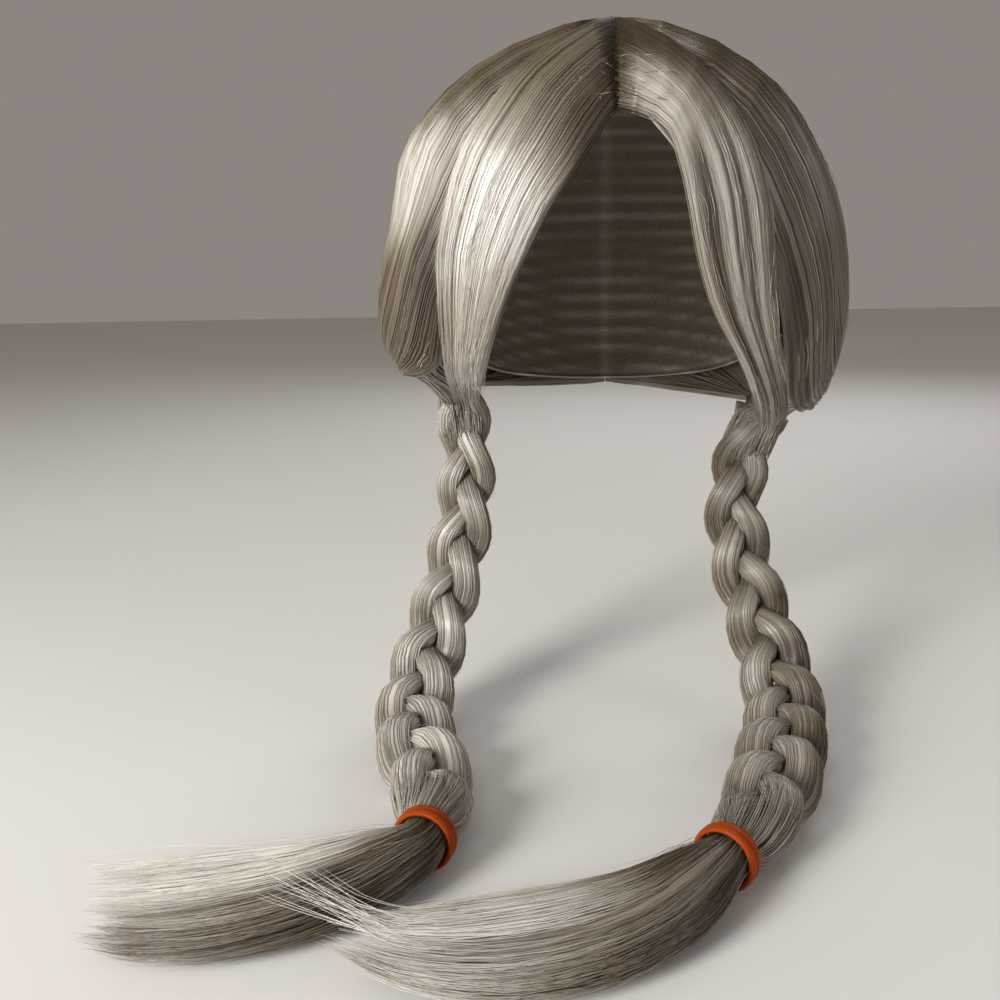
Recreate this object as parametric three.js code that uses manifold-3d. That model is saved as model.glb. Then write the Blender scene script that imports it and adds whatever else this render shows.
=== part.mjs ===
// A pigtail wig of long straight grey hair, parted down the middle.
// An elastic net cap carries two halves of crown hair, one on each side of the parting, that are
// drawn back over the ears. Two long front locks frame the face. Behind each ear the hair is gathered and
// plaited in three strands; each plait hangs down beside the neck, comes forward along the surface that the
// wig's head stands on, and ends in an elastic band and a loose tail.
//
// Millimetres. +Z up, the wig faces -Y, +X is the wearer's left.
// The origin is the inside of the cap at the top of the crown, where the head carries the wig.

import * as THREE from "three";
import { mergeVertices } from "three/addons/utils/BufferGeometryUtils.js";
import Module from "manifold-3d";

const wasm = await Module();
wasm.setup();

// ---------------------------------------------------------------- driving dimensions
const HEAD_HEIGHT = 280; // the surface that the plaits lie on is this far below the crown
const CENTRE_DEPTH = 85; // centre of the head's ball, below the crown
const CAP_THICKNESS = 1.5;
const GAP = 0.4; // between pieces that touch
const PARTING_GAP = 0.3; // half of the gap between the two halves of hair
const PLAIT_PERIOD = 84; // length in which one strand of a plait comes back to the same side
const PLAIT_LOOSE_FROM = 150; // beyond this length from the gather the plait is looser
const PLAIT_LOOSE_OVER = 170; // over this length its period grows by the share below
const PLAIT_LOOSENING = { r: 0.9, l: 0.5 };
const PLAIT_SWING = 8.4; // how far a strand swings to each side of the plait's axis
const PLAIT_WEAVE = 5.0; // how far it goes over and under
const STRAND_HALF_WIDTH = 7.4;
const STRAND_HALF_THICKNESS = 5.6;
const BAND_BORE_R = 9.0; // inside of the elastic band
const BAND_R = 11.2;
const BAND_WIDTH = 6.6;
const TAIL_NECK_R = 8.2; // the hair inside the band
const DEG = Math.PI / 180;
const CENTRE = new THREE.Vector3(0, 0, -CENTRE_DEPTH);
const FLOOR = -HEAD_HEIGHT;

// Distance from CENTRE to the head (inside of the cap) and to the outside of the hair, by angle from straight
// up, measured towards the side (the hair's differs right and left), the front and the back.
const ROW_STEP = 15;
const PROFILE = [
  { up: 0, head_side: 85.0, head_front: 85.0, head_back: 85.0, hair_r: 95.5, hair_l: 95.5, hair_front: 96.0, hair_back: 96.0 },
  { up: 15, head_side: 86.3, head_front: 87.3, head_back: 87.5, hair_r: 96.0, hair_l: 96.0, hair_front: 98.0, hair_back: 99.5 },
  { up: 30, head_side: 87.6, head_front: 92.0, head_back: 92.5, hair_r: 96.5, hair_l: 95.5, hair_front: 100.5, hair_back: 104.5 },
  { up: 45, head_side: 86.0, head_front: 96.0, head_back: 98.5, hair_r: 98.0, hair_l: 95.0, hair_front: 103.0, hair_back: 109.0 },
  { up: 60, head_side: 81.0, head_front: 96.5, head_back: 100.7, hair_r: 98.0, hair_l: 93.0, hair_front: 103.5, hair_back: 111.5 },
  { up: 75, head_side: 77.0, head_front: 94.5, head_back: 99.2, hair_r: 93.0, hair_l: 93.0, hair_front: 101.5, hair_back: 111.5 },
  { up: 90, head_side: 75.0, head_front: 92.5, head_back: 98.0, hair_r: 96.0, hair_l: 94.0, hair_front: 100.5, hair_back: 110.5 },
  { up: 105, head_side: 76.3, head_front: 90.5, head_back: 97.5, hair_r: 98.5, hair_l: 97.0, hair_front: 100.0, hair_back: 107.0 },
  { up: 120, head_side: 79.0, head_front: 88.0, head_back: 96.2, hair_r: 92.0, hair_l: 99.5, hair_front: 99.5, hair_back: 104.5 },
  { up: 135, head_side: 82.0, head_front: 86.0, head_back: 93.5, hair_r: 91.0, hair_l: 94.5, hair_front: 97.0, hair_back: 100.5 },
  { up: 150, head_side: 82.0, head_front: 84.0, head_back: 90.5, hair_r: 88.5, hair_l: 90.0, hair_front: 92.0, hair_back: 96.0 },
];

// Folds of the crown hair, as grooves that run from the parting down to the lower edge. The first is the dark gap
// behind each front lock. top and low are degrees round from the front, at 50 and at 110 degrees from straight up.
const FOLDS = {
  r: [
    { top: 33, low: 46, depth: 4.2, width: 6 },
    { top: 78, low: 84, depth: 2.2, width: 7 },
    { top: 118, low: 104, depth: 1.6, width: 7 },
    { top: 146, low: 126, depth: 1.8, width: 8 },
  ],
  l: [
    { top: 32, low: 43, depth: 3.2, width: 7 },
    { top: 60, low: 64, depth: 1.6, width: 6 },
    { top: 112, low: 100, depth: 1.6, width: 7 },
    { top: 146, low: 126, depth: 1.8, width: 8 },
  ],
};

// Lower edges seen from the side, y forward is negative: the crown hair's from the hairline down behind the
// front lock to the nape, and the cap's just inside it.
const RIM = {
  r: [
    { y: -120, z: -30 },
    { y: -85, z: -31 },
    { y: -87, z: -45 },
    { y: -86, z: -60 },
    { y: -80, z: -85 },
    { y: -76, z: -100 },
    { y: -72, z: -110 },
    { y: -65, z: -118 },
    { y: -50, z: -118.5 },
    { y: -30, z: -119.5 },
    { y: -10, z: -122 },
    { y: 12, z: -128 },
    { y: 24, z: -133 },
    { y: 44, z: -134 },
    { y: 62, z: -136 },
    { y: 84, z: -141 },
    { y: 130, z: -143 },
  ],
  l: [
    { y: -120, z: -30 },
    { y: -85, z: -31 },
    { y: -87, z: -45 },
    { y: -86, z: -60 },
    { y: -80, z: -85 },
    { y: -75, z: -100 },
    { y: -67, z: -116 },
    { y: -59, z: -129 },
    { y: -51, z: -137 },
    { y: -30, z: -138 },
    { y: -10, z: -139 },
    { y: 12, z: -141 },
    { y: 24, z: -144 },
    { y: 44, z: -144 },
    { y: 62, z: -141 },
    { y: 84, z: -141 },
    { y: 130, z: -143 },
  ],
  cap: [
    { y: -120, z: -28 },
    { y: -83, z: -29 },
    { y: -85, z: -45 },
    { y: -83, z: -60 },
    { y: -76, z: -85 },
    { y: -64, z: -99 },
    { y: -50, z: -107 },
    { y: -30, z: -109 },
    { y: -8, z: -104 },
    { y: 10, z: -107 },
    { y: 30, z: -118 },
    { y: 58, z: -130 },
    { y: 84, z: -136 },
    { y: 130, z: -138 },
  ],
};

// The two front locks, a row for each section from the parting to the tips. face_* is the edge by the face and
// rear_* the other edge: az is degrees round from the front, up is degrees from straight up.
const FRINGE = {
  r: [
    { face_az: 0, face_up: 56, rear_az: 0, rear_up: 16, thick: 4.0 },
    { face_az: 3.6, face_up: 61.2, rear_az: 23.5, rear_up: 39.7, thick: 5.5 },
    { face_az: 8.3, face_up: 68.5, rear_az: 31, rear_up: 54, thick: 6.5 },
    { face_az: 13.4, face_up: 75.6, rear_az: 37, rear_up: 67, thick: 7.0 },
    { face_az: 18.5, face_up: 85, rear_az: 40, rear_up: 80, thick: 7.0 },
    { face_az: 22.5, face_up: 93, rear_az: 39.5, rear_up: 91, thick: 7.0 },
    { face_az: 27, face_up: 102, rear_az: 39.5, rear_up: 102, thick: 6.0 },
    { face_az: 34, face_up: 115.5, rear_az: 43, rear_up: 115, thick: 3.0 },
  ],
  l: [
    { face_az: 0, face_up: 56, rear_az: 0, rear_up: 16, thick: 4.0 },
    { face_az: 7.9, face_up: 61.1, rear_az: 20, rear_up: 41, thick: 5.5 },
    { face_az: 10.6, face_up: 68.6, rear_az: 28.5, rear_up: 58, thick: 6.5 },
    { face_az: 12.8, face_up: 77, rear_az: 32, rear_up: 72, thick: 7.0 },
    { face_az: 15.5, face_up: 87, rear_az: 33, rear_up: 85, thick: 7.0 },
    { face_az: 20, face_up: 97, rear_az: 34.3, rear_up: 97, thick: 7.0 },
    { face_az: 28, face_up: 107.5, rear_az: 39.5, rear_up: 109, thick: 6.0 },
    { face_az: 41, face_up: 124, rear_az: 51.5, rear_up: 124.4, thick: 3.0 },
  ],
};

// The line down the middle of each plait. face_* is the way its broad face looks, size scales its section.
const PLAIT = {
  r: [
    { x: -68, y: 32, z: -136, face_x: -0.45, face_y: -0.9, face_z: 0, size: 0.8 },
    { x: -65.5, y: 31, z: -160, face_x: -0.35, face_y: -0.9, face_z: 0, size: 0.84 },
    { x: -66, y: 28, z: -184, face_x: -0.25, face_y: -0.95, face_z: 0, size: 0.88 },
    { x: -69.5, y: 22, z: -208, face_x: -0.2, face_y: -0.95, face_z: 0.1, size: 0.92 },
    { x: -76, y: 11, z: -233, face_x: -0.15, face_y: -0.85, face_z: 0.4, size: 0.97 },
    { x: -82, y: -8, z: -254, face_x: -0.1, face_y: -0.6, face_z: 0.7, size: 1.02 },
    { x: -84, y: -34, z: -266.5, face_x: -0.05, face_y: -0.2, face_z: 1, size: 1.05 },
    { x: -78, y: -62, z: -268.4, face_x: 0, face_y: -0.1, face_z: 1, size: 1.08 },
    { x: -69, y: -90, z: -268.4, face_x: 0, face_y: 0, face_z: 1, size: 1.05 },
    { x: -64.6, y: -110, z: -268.5, face_x: 0, face_y: 0, face_z: 1, size: 0.9 },
    { x: -64.2, y: -120, z: -268.6, face_x: 0, face_y: 0, face_z: 1, size: 0.62 },
  ],
  l: [
    { x: 70, y: 33, z: -146.5, face_x: 0.3, face_y: -0.95, face_z: 0, size: 0.8 },
    { x: 62, y: 35, z: -168, face_x: 0.2, face_y: -0.95, face_z: 0, size: 0.84 },
    { x: 58.5, y: 33, z: -190, face_x: 0.1, face_y: -1, face_z: 0, size: 0.88 },
    { x: 61, y: 27, z: -212, face_x: 0, face_y: -1, face_z: 0.1, size: 0.93 },
    { x: 67, y: 15, z: -235, face_x: -0.1, face_y: -0.85, face_z: 0.4, size: 0.98 },
    { x: 72.5, y: -5, z: -255, face_x: -0.15, face_y: -0.6, face_z: 0.7, size: 1.04 },
    { x: 72.5, y: -32, z: -266.5, face_x: -0.15, face_y: -0.2, face_z: 1, size: 1.08 },
    { x: 65.5, y: -62, z: -268.2, face_x: -0.1, face_y: -0.1, face_z: 1, size: 1.1 },
    { x: 56.5, y: -92, z: -268.2, face_x: 0, face_y: 0, face_z: 1, size: 1.06 },
    { x: 45.5, y: -118, z: -268.4, face_x: 0, face_y: 0, face_z: 1, size: 0.9 },
    { x: 40.2, y: -127.6, z: -268.6, face_x: 0, face_y: 0, face_z: 1, size: 0.62 },
  ],
};

// The loose tails, a row for each section: its middle, half of its width and of its height, and how many
// degrees it leans from square to the tail, because the outer locks are the longer ones.
const TAIL = {
  r: [
    { x: -65.2, y: -129, z: -268.6, half_width: TAIL_NECK_R, half_height: TAIL_NECK_R, lean: 0 },
    { x: -66.4, y: -134.1, z: -268.6, half_width: TAIL_NECK_R, half_height: TAIL_NECK_R, lean: 0 },
    { x: -69.5, y: -139, z: -268.8, half_width: 10.5, half_height: 8.6, lean: 0 },
    { x: -76, y: -143, z: -269.8, half_width: 15, half_height: 8.2, lean: 0 },
    { x: -89, y: -149, z: -272, half_width: 20, half_height: 7.2, lean: 0 },
    { x: -107, y: -155, z: -273.8, half_width: 24.5, half_height: 5.8, lean: 4 },
    { x: -128, y: -159, z: -275.2, half_width: 27.5, half_height: 4.4, lean: 10 },
    { x: -148, y: -160, z: -276.6, half_width: 28, half_height: 3, lean: 18 },
    { x: -166, y: -158.5, z: -277.9, half_width: 26, half_height: 1.5, lean: 26 },
  ],
  l: [
    { x: 34.6, y: -136.4, z: -268.6, half_width: TAIL_NECK_R, half_height: TAIL_NECK_R, lean: 0 },
    { x: 31.8, y: -140.8, z: -268.6, half_width: TAIL_NECK_R, half_height: TAIL_NECK_R, lean: 0 },
    { x: 28, y: -145.6, z: -268.8, half_width: 10.3, half_height: 8.6, lean: 0 },
    { x: 21, y: -152, z: -269.8, half_width: 14, half_height: 8.2, lean: 0 },
    { x: 8, y: -162, z: -272, half_width: 18, half_height: 7.2, lean: 0 },
    { x: -13, y: -171.5, z: -273.6, half_width: 22, half_height: 5.9, lean: 0 },
    { x: -35, y: -178, z: -273.6, half_width: 22.5, half_height: 4.8, lean: 0 },
    { x: -52, y: -180.5, z: -273.2, half_width: 19.5, half_height: 4, lean: 0 },
    { x: -67, y: -180.5, z: -272.2, half_width: 15, half_height: 3, lean: 0 },
    { x: -79, y: -178.5, z: -271.2, half_width: 9.5, half_height: 1.8, lean: 0 },
  ],
};

// ---------------------------------------------------------------- small tools

// Smooth value through evenly spaced numbers, t counted in steps.
function smooth(values, t) {
  const n = values.length - 1;
  const i = Math.min(n - 1, Math.max(0, Math.floor(t)));
  const f = Math.min(1, Math.max(0, t - i));
  const b = values[i],
    c = values[i + 1];
  const a = i > 0 ? values[i - 1] : 2 * b - c;
  const d = i < n - 1 ? values[i + 2] : 2 * c - b;
  return (
    b +
    0.5 * f * (c - a + f * (2 * a - 5 * b + 4 * c - d + f * (3 * (b - c) + d - a)))
  );
}

const column = (rows, name) => rows.map((row) => row[name]);

// Distance from CENTRE to the head or to the outside of the hair. side is -1 for the wearer's right and +1 for
// the left, both angles are in degrees.
const PROFILE_COLUMNS = {};
for (const key of Object.keys(PROFILE[0])) PROFILE_COLUMNS[key] = column(PROFILE, key);
function reach(what, side, az, up) {
  const t = up / ROW_STEP;
  const sideways = what === "head" ? "head_side" : side < 0 ? "hair_r" : "hair_l";
  const lengthways = what + (Math.abs(az) < 90 ? "_front" : "_back");
  const s = Math.sin(az * DEG) / smooth(PROFILE_COLUMNS[sideways], t),
    c = Math.cos(az * DEG) / smooth(PROFILE_COLUMNS[lengthways], t);
  return 1 / Math.sqrt(s * s + c * c);
}

// A point at a distance from CENTRE.
function at(side, az, up, r) {
  return new THREE.Vector3(
    side * Math.sin(up * DEG) * Math.sin(az * DEG),
    -Math.sin(up * DEG) * Math.cos(az * DEG),
    Math.cos(up * DEG),
  )
    .multiplyScalar(r)
    .add(CENTRE);
}

// A closed solid through rings of points, each ring closed on itself, with flat ends.
function loft(rings) {
  const n = rings[0].length;
  const points = rings.flat();
  const index = [];
  for (let i = 0; i + 1 < rings.length; i++)
    for (let j = 0; j < n; j++) {
      const a = i * n + j,
        b = i * n + ((j + 1) % n);
      index.push(a, b, a + n, b, b + n, a + n);
    }
  for (const [i, turn] of [
    [0, false],
    [rings.length - 1, true],
  ]) {
    const middle = rings[i]
      .reduce((sum, p) => sum.add(p), new THREE.Vector3())
      .divideScalar(n);
    const m = points.push(middle) - 1;
    for (let j = 0; j < n; j++) {
      const a = i * n + j,
        b = i * n + ((j + 1) % n);
      index.push(m, turn ? a : b, turn ? b : a);
    }
  }
  return new THREE.BufferGeometry().setFromPoints(points).setIndex(index);
}

// A three.js geometry as a solid that can be cut, and back. A solid that faces inwards is turned round.
function solid(geometry) {
  const bare = new THREE.BufferGeometry().setAttribute(
    "position",
    (geometry.index ? geometry.toNonIndexed() : geometry).getAttribute("position"),
  );
  const merged = mergeVertices(bare, 1e-4);
  const make = (tri) =>
    new wasm.Manifold(
      new wasm.Mesh({
        numProp: 3,
        vertProperties: merged.attributes.position.array,
        triVerts: tri,
      }),
    );
  const tri = new Uint32Array(merged.index.array);
  const made = make(tri);
  if (made.volume() > 0) return made;
  for (let i = 0; i < tri.length; i += 3) [tri[i + 1], tri[i + 2]] = [tri[i + 2], tri[i + 1]];
  return make(tri);
}
function geometryOf(made) {
  const mesh = made.getMesh();
  const g = new THREE.BufferGeometry();
  const v = new Float32Array(mesh.numVert * 3);
  for (let i = 0; i < mesh.numVert; i++)
    v.set(mesh.vertProperties.subarray(i * mesh.numProp, i * mesh.numProp + 3), i * 3);
  g.setAttribute("position", new THREE.BufferAttribute(v, 3));
  g.setIndex(new THREE.BufferAttribute(new Uint32Array(mesh.triVerts), 1));
  return g;
}
function block(x0, x1, y0, y1, z0, z1) {
  const g = new THREE.BoxGeometry(x1 - x0, y1 - y0, z1 - z0);
  g.translate((x0 + x1) / 2, (y0 + y1) / 2, (z0 + z1) / 2);
  return solid(g);
}
// The largest closed body of a cut solid, without slivers.
function largest(made) {
  return made
    .decompose()
    .sort((a, b) => b.volume() - a.volume())[0];
}

// ---------------------------------------------------------------- cap, and the balls that the hair is cut from

const ROUND = 40; // steps round the head
const UP_ROWS = [4, 12, 22, 33, 44, 55, 66, 77, 88, 98, 108, 118, 128, 138, 148];

// Depth of the crown hair's folds at a place, in mm.
function foldDepth(side, az, up) {
  let depth = 0;
  for (const fold of FOLDS[side < 0 ? "r" : "l"]) {
    const line = fold.top + ((fold.low - fold.top) * (up - 50)) / 60;
    const d = (az - line) / fold.width;
    depth += fold.depth * Math.exp(-d * d) * Math.min(1, Math.max(0, (up - 20) / 30));
  }
  return depth;
}
function ball(radius) {
  return loft(
    UP_ROWS.map((up) =>
      Array.from({ length: ROUND }, (_, j) => {
        const turn = (360 * (j + 0.5)) / ROUND;
        const side = turn < 180 ? 1 : -1;
        const az = turn < 180 ? turn : 360 - turn;
        return at(side, az, up, radius(side, az, up));
      }),
    ),
  );
}
// Everything below the rim, seen from the side, as a prism across the head.
function belowRim(which) {
  const shape = new THREE.Shape();
  RIM[which].forEach((row, i) => shape[i ? "lineTo" : "moveTo"](row.y, row.z));
  shape.lineTo(130, -300);
  shape.lineTo(-120, -300);
  shape.closePath();
  const g = new THREE.ExtrudeGeometry(shape, { depth: 300, bevelEnabled: false });
  // shape x -> y, shape y -> z, depth -> x
  g.applyMatrix4(new THREE.Matrix4().set(0, 0, 1, -150, 1, 0, 0, 0, 0, 1, 0, 0, 0, 0, 0, 1));
  return solid(g);
}
const headBall = solid(ball((side, az, up) => reach("head", side, az, up)));
const capBall = solid(ball((side, az, up) => reach("head", side, az, up) + CAP_THICKNESS));
const capClearBall = solid(
  ball((side, az, up) => reach("head", side, az, up) + CAP_THICKNESS + GAP),
);
const hairBall = solid(
  ball((side, az, up) => reach("hair", side, az, up) - foldDepth(side, az, up)),
);
const capShell = largest(capBall.subtract(headBall).subtract(belowRim("cap")));

// ---------------------------------------------------------------- front locks

const FRINGE_ACROSS = 10;
const FRINGE_ALONG = 14;
// One front lock as a solid. grow makes it larger on every side, for the clearance cut from the hair under it.
function fringe(sideName, grow) {
  const rows = FRINGE[sideName];
  const side = sideName === "r" ? -1 : 1;
  const columns = {};
  for (const key of Object.keys(rows[0])) columns[key] = column(rows, key);
  const last = rows.length - 1;
  const sections = [];
  for (let i = 0; i <= FRINGE_ALONG; i++) {
    const t = (last * i) / FRINGE_ALONG;
    const value = (key) => smooth(columns[key], t);
    const outer = [],
      inner = [];
    for (let j = 0; j <= FRINGE_ACROSS; j++) {
      const a = j / FRINGE_ACROSS;
      const az = value("face_az") + (value("rear_az") - value("face_az")) * a;
      const up = value("face_up") + (value("rear_up") - value("face_up")) * a;
      // the edges are rounded, and a shallow fold splits the lock behind its middle
      const edge = Math.sqrt(Math.max(0, 1 - Math.pow(Math.abs(2 * a - 1), 4)));
      const split = 1.2 * Math.exp(-Math.pow((a - 0.6) / 0.1, 2)) * Math.min(1, t / 3);
      const out = reach("hair", side, az, up) + 0.6 - split - (1 - edge) * 1.6;
      const floor = reach("head", side, az, up) + CAP_THICKNESS + GAP;
      const low = Math.max(out - value("thick") * (0.45 + 0.55 * edge), Math.min(floor, out - 1.5));
      outer.push(at(side, az, up, out + grow));
      inner.push(at(side, az, up, low - grow));
    }
    for (const line of [outer, inner])
      for (const [end, next] of [
        [0, 1],
        [FRINGE_ACROSS, FRINGE_ACROSS - 1],
      ])
        line[end].addScaledVector(line[end].clone().sub(line[next]).normalize(), grow);
    sections.push([...outer, ...inner.reverse()]);
  }
  // both ends, the one at the parting past the middle
  for (const [end, next] of [
    [0, 1],
    [FRINGE_ALONG, FRINGE_ALONG - 1],
  ])
    sections[end] = sections[end].map((p, j) => {
      const along = p.clone().sub(sections[next][j]).normalize();
      const slant = end ? 1 : Math.max(0.15, Math.abs(along.x));
      return p.clone().addScaledVector(along, grow / slant);
    });
  for (const p of sections[0]) p.x = side * (PARTING_GAP - grow);
  return solid(loft(sections));
}
const fringeR = fringe("r", 0);
const fringeL = fringe("l", 0);

// ---------------------------------------------------------------- plaits

// Place, direction, broad-face normal and size along a plait, from its rows.
function plaitLine(sideName) {
  const rows = PLAIT[sideName];
  const curve = new THREE.CatmullRomCurve3(
    rows.map((row) => new THREE.Vector3(row.x, row.y, row.z)),
    false,
    "centripetal",
  );
  curve.arcLengthDivisions = 400;
  const length = curve.getLength();
  const last = rows.length - 1;
  return {
    length,
    // s in mm from the gather
    at(s) {
      const u = Math.min(1, Math.max(0, s / length));
      const place = curve.getPointAt(u);
      const along = curve.getTangentAt(u);
      const t = curve.getUtoTmapping(u) * last;
      const face = new THREE.Vector3(
        smooth(column(rows, "face_x"), t),
        smooth(column(rows, "face_y"), t),
        smooth(column(rows, "face_z"), t),
      );
      face.addScaledVector(along, -face.dot(along)).normalize();
      return {
        place,
        along,
        face,
        across: new THREE.Vector3().crossVectors(along, face),
        size: smooth(column(rows, "size"), t),
      };
    },
  };
}
const STRAND_SIDES = 10;
const STRAND_STEPS = 16; // sections in one period of the plait
// Periods of the plait from the gather to s.
function plaitTurns(sideName, s) {
  const c = PLAIT_LOOSENING[sideName];
  const beyond = Math.max(0, s - PLAIT_LOOSE_FROM);
  const looser = (PLAIT_LOOSE_OVER / c) * Math.log1p((c * beyond) / PLAIT_LOOSE_OVER);
  return (Math.min(s, PLAIT_LOOSE_FROM) + looser) / PLAIT_PERIOD;
}
// Where a strand's middle lies in the plait's section: across and up.
function strandCentre(sideName, k, s) {
  const phase = 2 * Math.PI * (plaitTurns(sideName, s) + k / 3);
  return [PLAIT_SWING * Math.sin(phase), PLAIT_WEAVE * Math.sin(2 * phase)];
}
// A strand is pressed flat against the two others: its section ends half-way to each of them.
function strandReach(sideName, k, s, angle) {
  const [a, b] = strandCentre(sideName, k, s);
  const ca = Math.cos(angle),
    cb = Math.sin(angle);
  let r =
    1 / Math.hypot(ca / STRAND_HALF_WIDTH, cb / STRAND_HALF_THICKNESS);
  for (let j = 0; j < 3; j++) {
    if (j === k) continue;
    const [a2, b2] = strandCentre(sideName, j, s);
    const d = Math.hypot(a2 - a, b2 - b);
    const facing = (ca * (a2 - a) + cb * (b2 - b)) / d;
    if (facing > 0.02) r = Math.min(r, (d / 2 - GAP / 2) / facing);
  }
  return r;
}
function strand(sideName, k, grow) {
  const line = plaitLine(sideName);
  const steps = Math.round((line.length * STRAND_STEPS) / PLAIT_PERIOD);
  const rings = [];
  for (let i = 0; i <= steps; i++) {
    const s = (line.length * i) / steps;
    const f = line.at(s);
    const [a, b] = strandCentre(sideName, k, s);
    rings.push(
      Array.from({ length: STRAND_SIDES }, (_, j) => {
        const angle = (2 * Math.PI * (j + 0.5)) / STRAND_SIDES;
        const r = strandReach(sideName, k, s, angle) + grow;
        return f.place
          .clone()
          .addScaledVector(f.across, f.size * (a + r * Math.cos(angle)))
          .addScaledVector(f.face, f.size * (b + r * Math.sin(angle)));
      }),
    );
  }
  return solid(loft(rings));
}
// The three strands of a plait, each cut clear of the ones before it where they cross.
function plait(sideName) {
  const made = [];
  for (let k = 0; k < 3; k++) {
    let one = strand(sideName, k, 0);
    for (let j = 0; j < k; j++) one = one.subtract(strand(sideName, j, GAP));
    made.push(largest(one));
  }
  return made;
}

// ---------------------------------------------------------------- crown hair

// The plait's root with a gap round it, cut from the gathered hair that it comes out of.
function plaitRoot(sideName) {
  const line = plaitLine(sideName);
  const { place, along, face, across, size } = line.at(0);
  const wide = size * (PLAIT_SWING + STRAND_HALF_WIDTH) + GAP;
  const deep = size * (PLAIT_WEAVE + STRAND_HALF_THICKNESS) + GAP;
  return solid(
    loft(
      [-GAP - 0.6, 20].map((s) =>
        Array.from({ length: 20 }, (_, j) => {
          const angle = (2 * Math.PI * j) / 20;
          const square = (v) => Math.sign(v) * Math.abs(v) ** 0.65;
          return place
            .clone()
            .addScaledVector(along, s)
            .addScaledVector(across, wide * square(Math.cos(angle)))
            .addScaledVector(face, deep * square(Math.sin(angle)));
        }),
      ),
    ),
  );
}

function crownHalf(sideName) {
  const half =
    sideName === "r"
      ? block(-150, -PARTING_GAP, -150, 150, -200, 50)
      : block(PARTING_GAP, 150, -150, 150, -200, 50);
  return largest(
    hairBall
      .intersect(half)
      .subtract(capClearBall)
      .subtract(belowRim(sideName))
      .subtract(fringe(sideName, 1.5 * GAP))
      .subtract(plaitRoot(sideName)),
  );
}

// ---------------------------------------------------------------- bands and tails

const BAND_SIDES = 20;
// An elastic wound twice round the hair, as one ring with a groove between its turns.
function band() {
  const half = BAND_WIDTH / 2;
  const ring = [
    [BAND_BORE_R, -half],
    [BAND_R - 0.7, -half],
    [BAND_R, -half * 0.62],
    [BAND_R - 0.1, -half * 0.3],
    [BAND_R - 0.9, 0],
    [BAND_R - 0.1, half * 0.3],
    [BAND_R, half * 0.62],
    [BAND_R - 0.7, half],
    [BAND_BORE_R, half],
  ];
  ring.push(ring[0]);
  return new THREE.LatheGeometry(
    ring.map(([r, y]) => new THREE.Vector2(r, y)),
    BAND_SIDES,
  );
}
const TAIL_SIDES = 16;
const TAIL_STEPS = 18;
function tail(sideName) {
  const rows = TAIL[sideName];
  const points = rows.map((row) => new THREE.Vector3(row.x, row.y, row.z));
  // the neck starts behind the band, on the line through it
  const back = points[0].clone().sub(points[1]).setLength(BAND_WIDTH / 2 + 1);
  points.unshift(points[0].clone().add(back));
  const curve = new THREE.CatmullRomCurve3(points, false, "centripetal");
  const widths = [TAIL_NECK_R, ...column(rows, "half_width")];
  const heights = [TAIL_NECK_R, ...column(rows, "half_height")];
  const leans = [0, ...column(rows, "lean")];
  const last = points.length - 1;
  const rings = [];
  for (let i = 0; i <= TAIL_STEPS; i++) {
    const t = i / TAIL_STEPS;
    const place = curve.getPoint(t);
    const along = curve.getTangent(t);
    const square = new THREE.Vector3(0, 0, 1).cross(along).normalize();
    const up = new THREE.Vector3().crossVectors(along, square);
    const across = square.clone().applyAxisAngle(up, smooth(leans, t * last) * DEG);
    const w = smooth(widths, t * last);
    const h = smooth(heights, t * last);
    rings.push(
      Array.from({ length: TAIL_SIDES }, (_, j) => {
        const angle = (2 * Math.PI * j) / TAIL_SIDES;
        const p = place
          .clone()
          .addScaledVector(across, w * Math.cos(angle))
          .addScaledVector(up, h * Math.sin(angle));
        p.z = Math.max(p.z, FLOOR + 0.1);
        return p;
      }),
    );
  }
  return loft(rings);
}

// ---------------------------------------------------------------- the wig

const hairLight = new THREE.MeshStandardMaterial({ color: 0xa39d92, roughness: 0.42, metalness: 0 });
const hairShade = new THREE.MeshStandardMaterial({ color: 0x8f897e, roughness: 0.45, metalness: 0 });
const net = new THREE.MeshStandardMaterial({ color: 0x8d877d, roughness: 0.85, metalness: 0 });
const elastic = new THREE.MeshStandardMaterial({ color: 0xc4580c, roughness: 0.3, metalness: 0 });

const wig = new THREE.Group();
function add(name, geometry, material, parent = wig) {
  geometry.computeVertexNormals();
  const mesh = new THREE.Mesh(geometry, material);
  mesh.name = name;
  parent.add(mesh);
  return mesh;
}

add("cap", geometryOf(capShell), net);
for (const sideName of ["r", "l"]) {
  const front = sideName === "r" ? fringeR : fringeL;
  add("crown_hair_" + sideName, geometryOf(crownHalf(sideName)), hairShade);
  add("front_lock_" + sideName, geometryOf(front), hairLight);
  plait(sideName).forEach((one, k) =>
    add("plait_" + sideName + "_strand_" + (k + 1), geometryOf(one), hairLight),
  );
  add("tail_" + sideName, geometryOf(solid(tail(sideName))), hairShade);

  // the band stands square to the tail's neck
  const [first, second] = TAIL[sideName];
  const along = new THREE.Vector3(second.x - first.x, second.y - first.y, second.z - first.z).normalize();
  const holder = new THREE.Group();
  holder.position.set(first.x, first.y, first.z);
  holder.quaternion.setFromUnitVectors(new THREE.Vector3(0, 1, 0), along);
  add("band_" + sideName, band(), elastic, holder);
  wig.add(holder);
}

export default wig;
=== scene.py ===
"""A pigtail wig of long straight silver-grey hair: parting, front locks, two plaits, elastic bands and loose tails.

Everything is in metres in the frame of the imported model; the tables below are in millimetres and degrees, as measured.
Hair is made as thousands of fine closed tubes laid over a body of the same form, strand by strand.
"""

import math

import bpy
import numpy as np
from mathutils import Matrix


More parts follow.
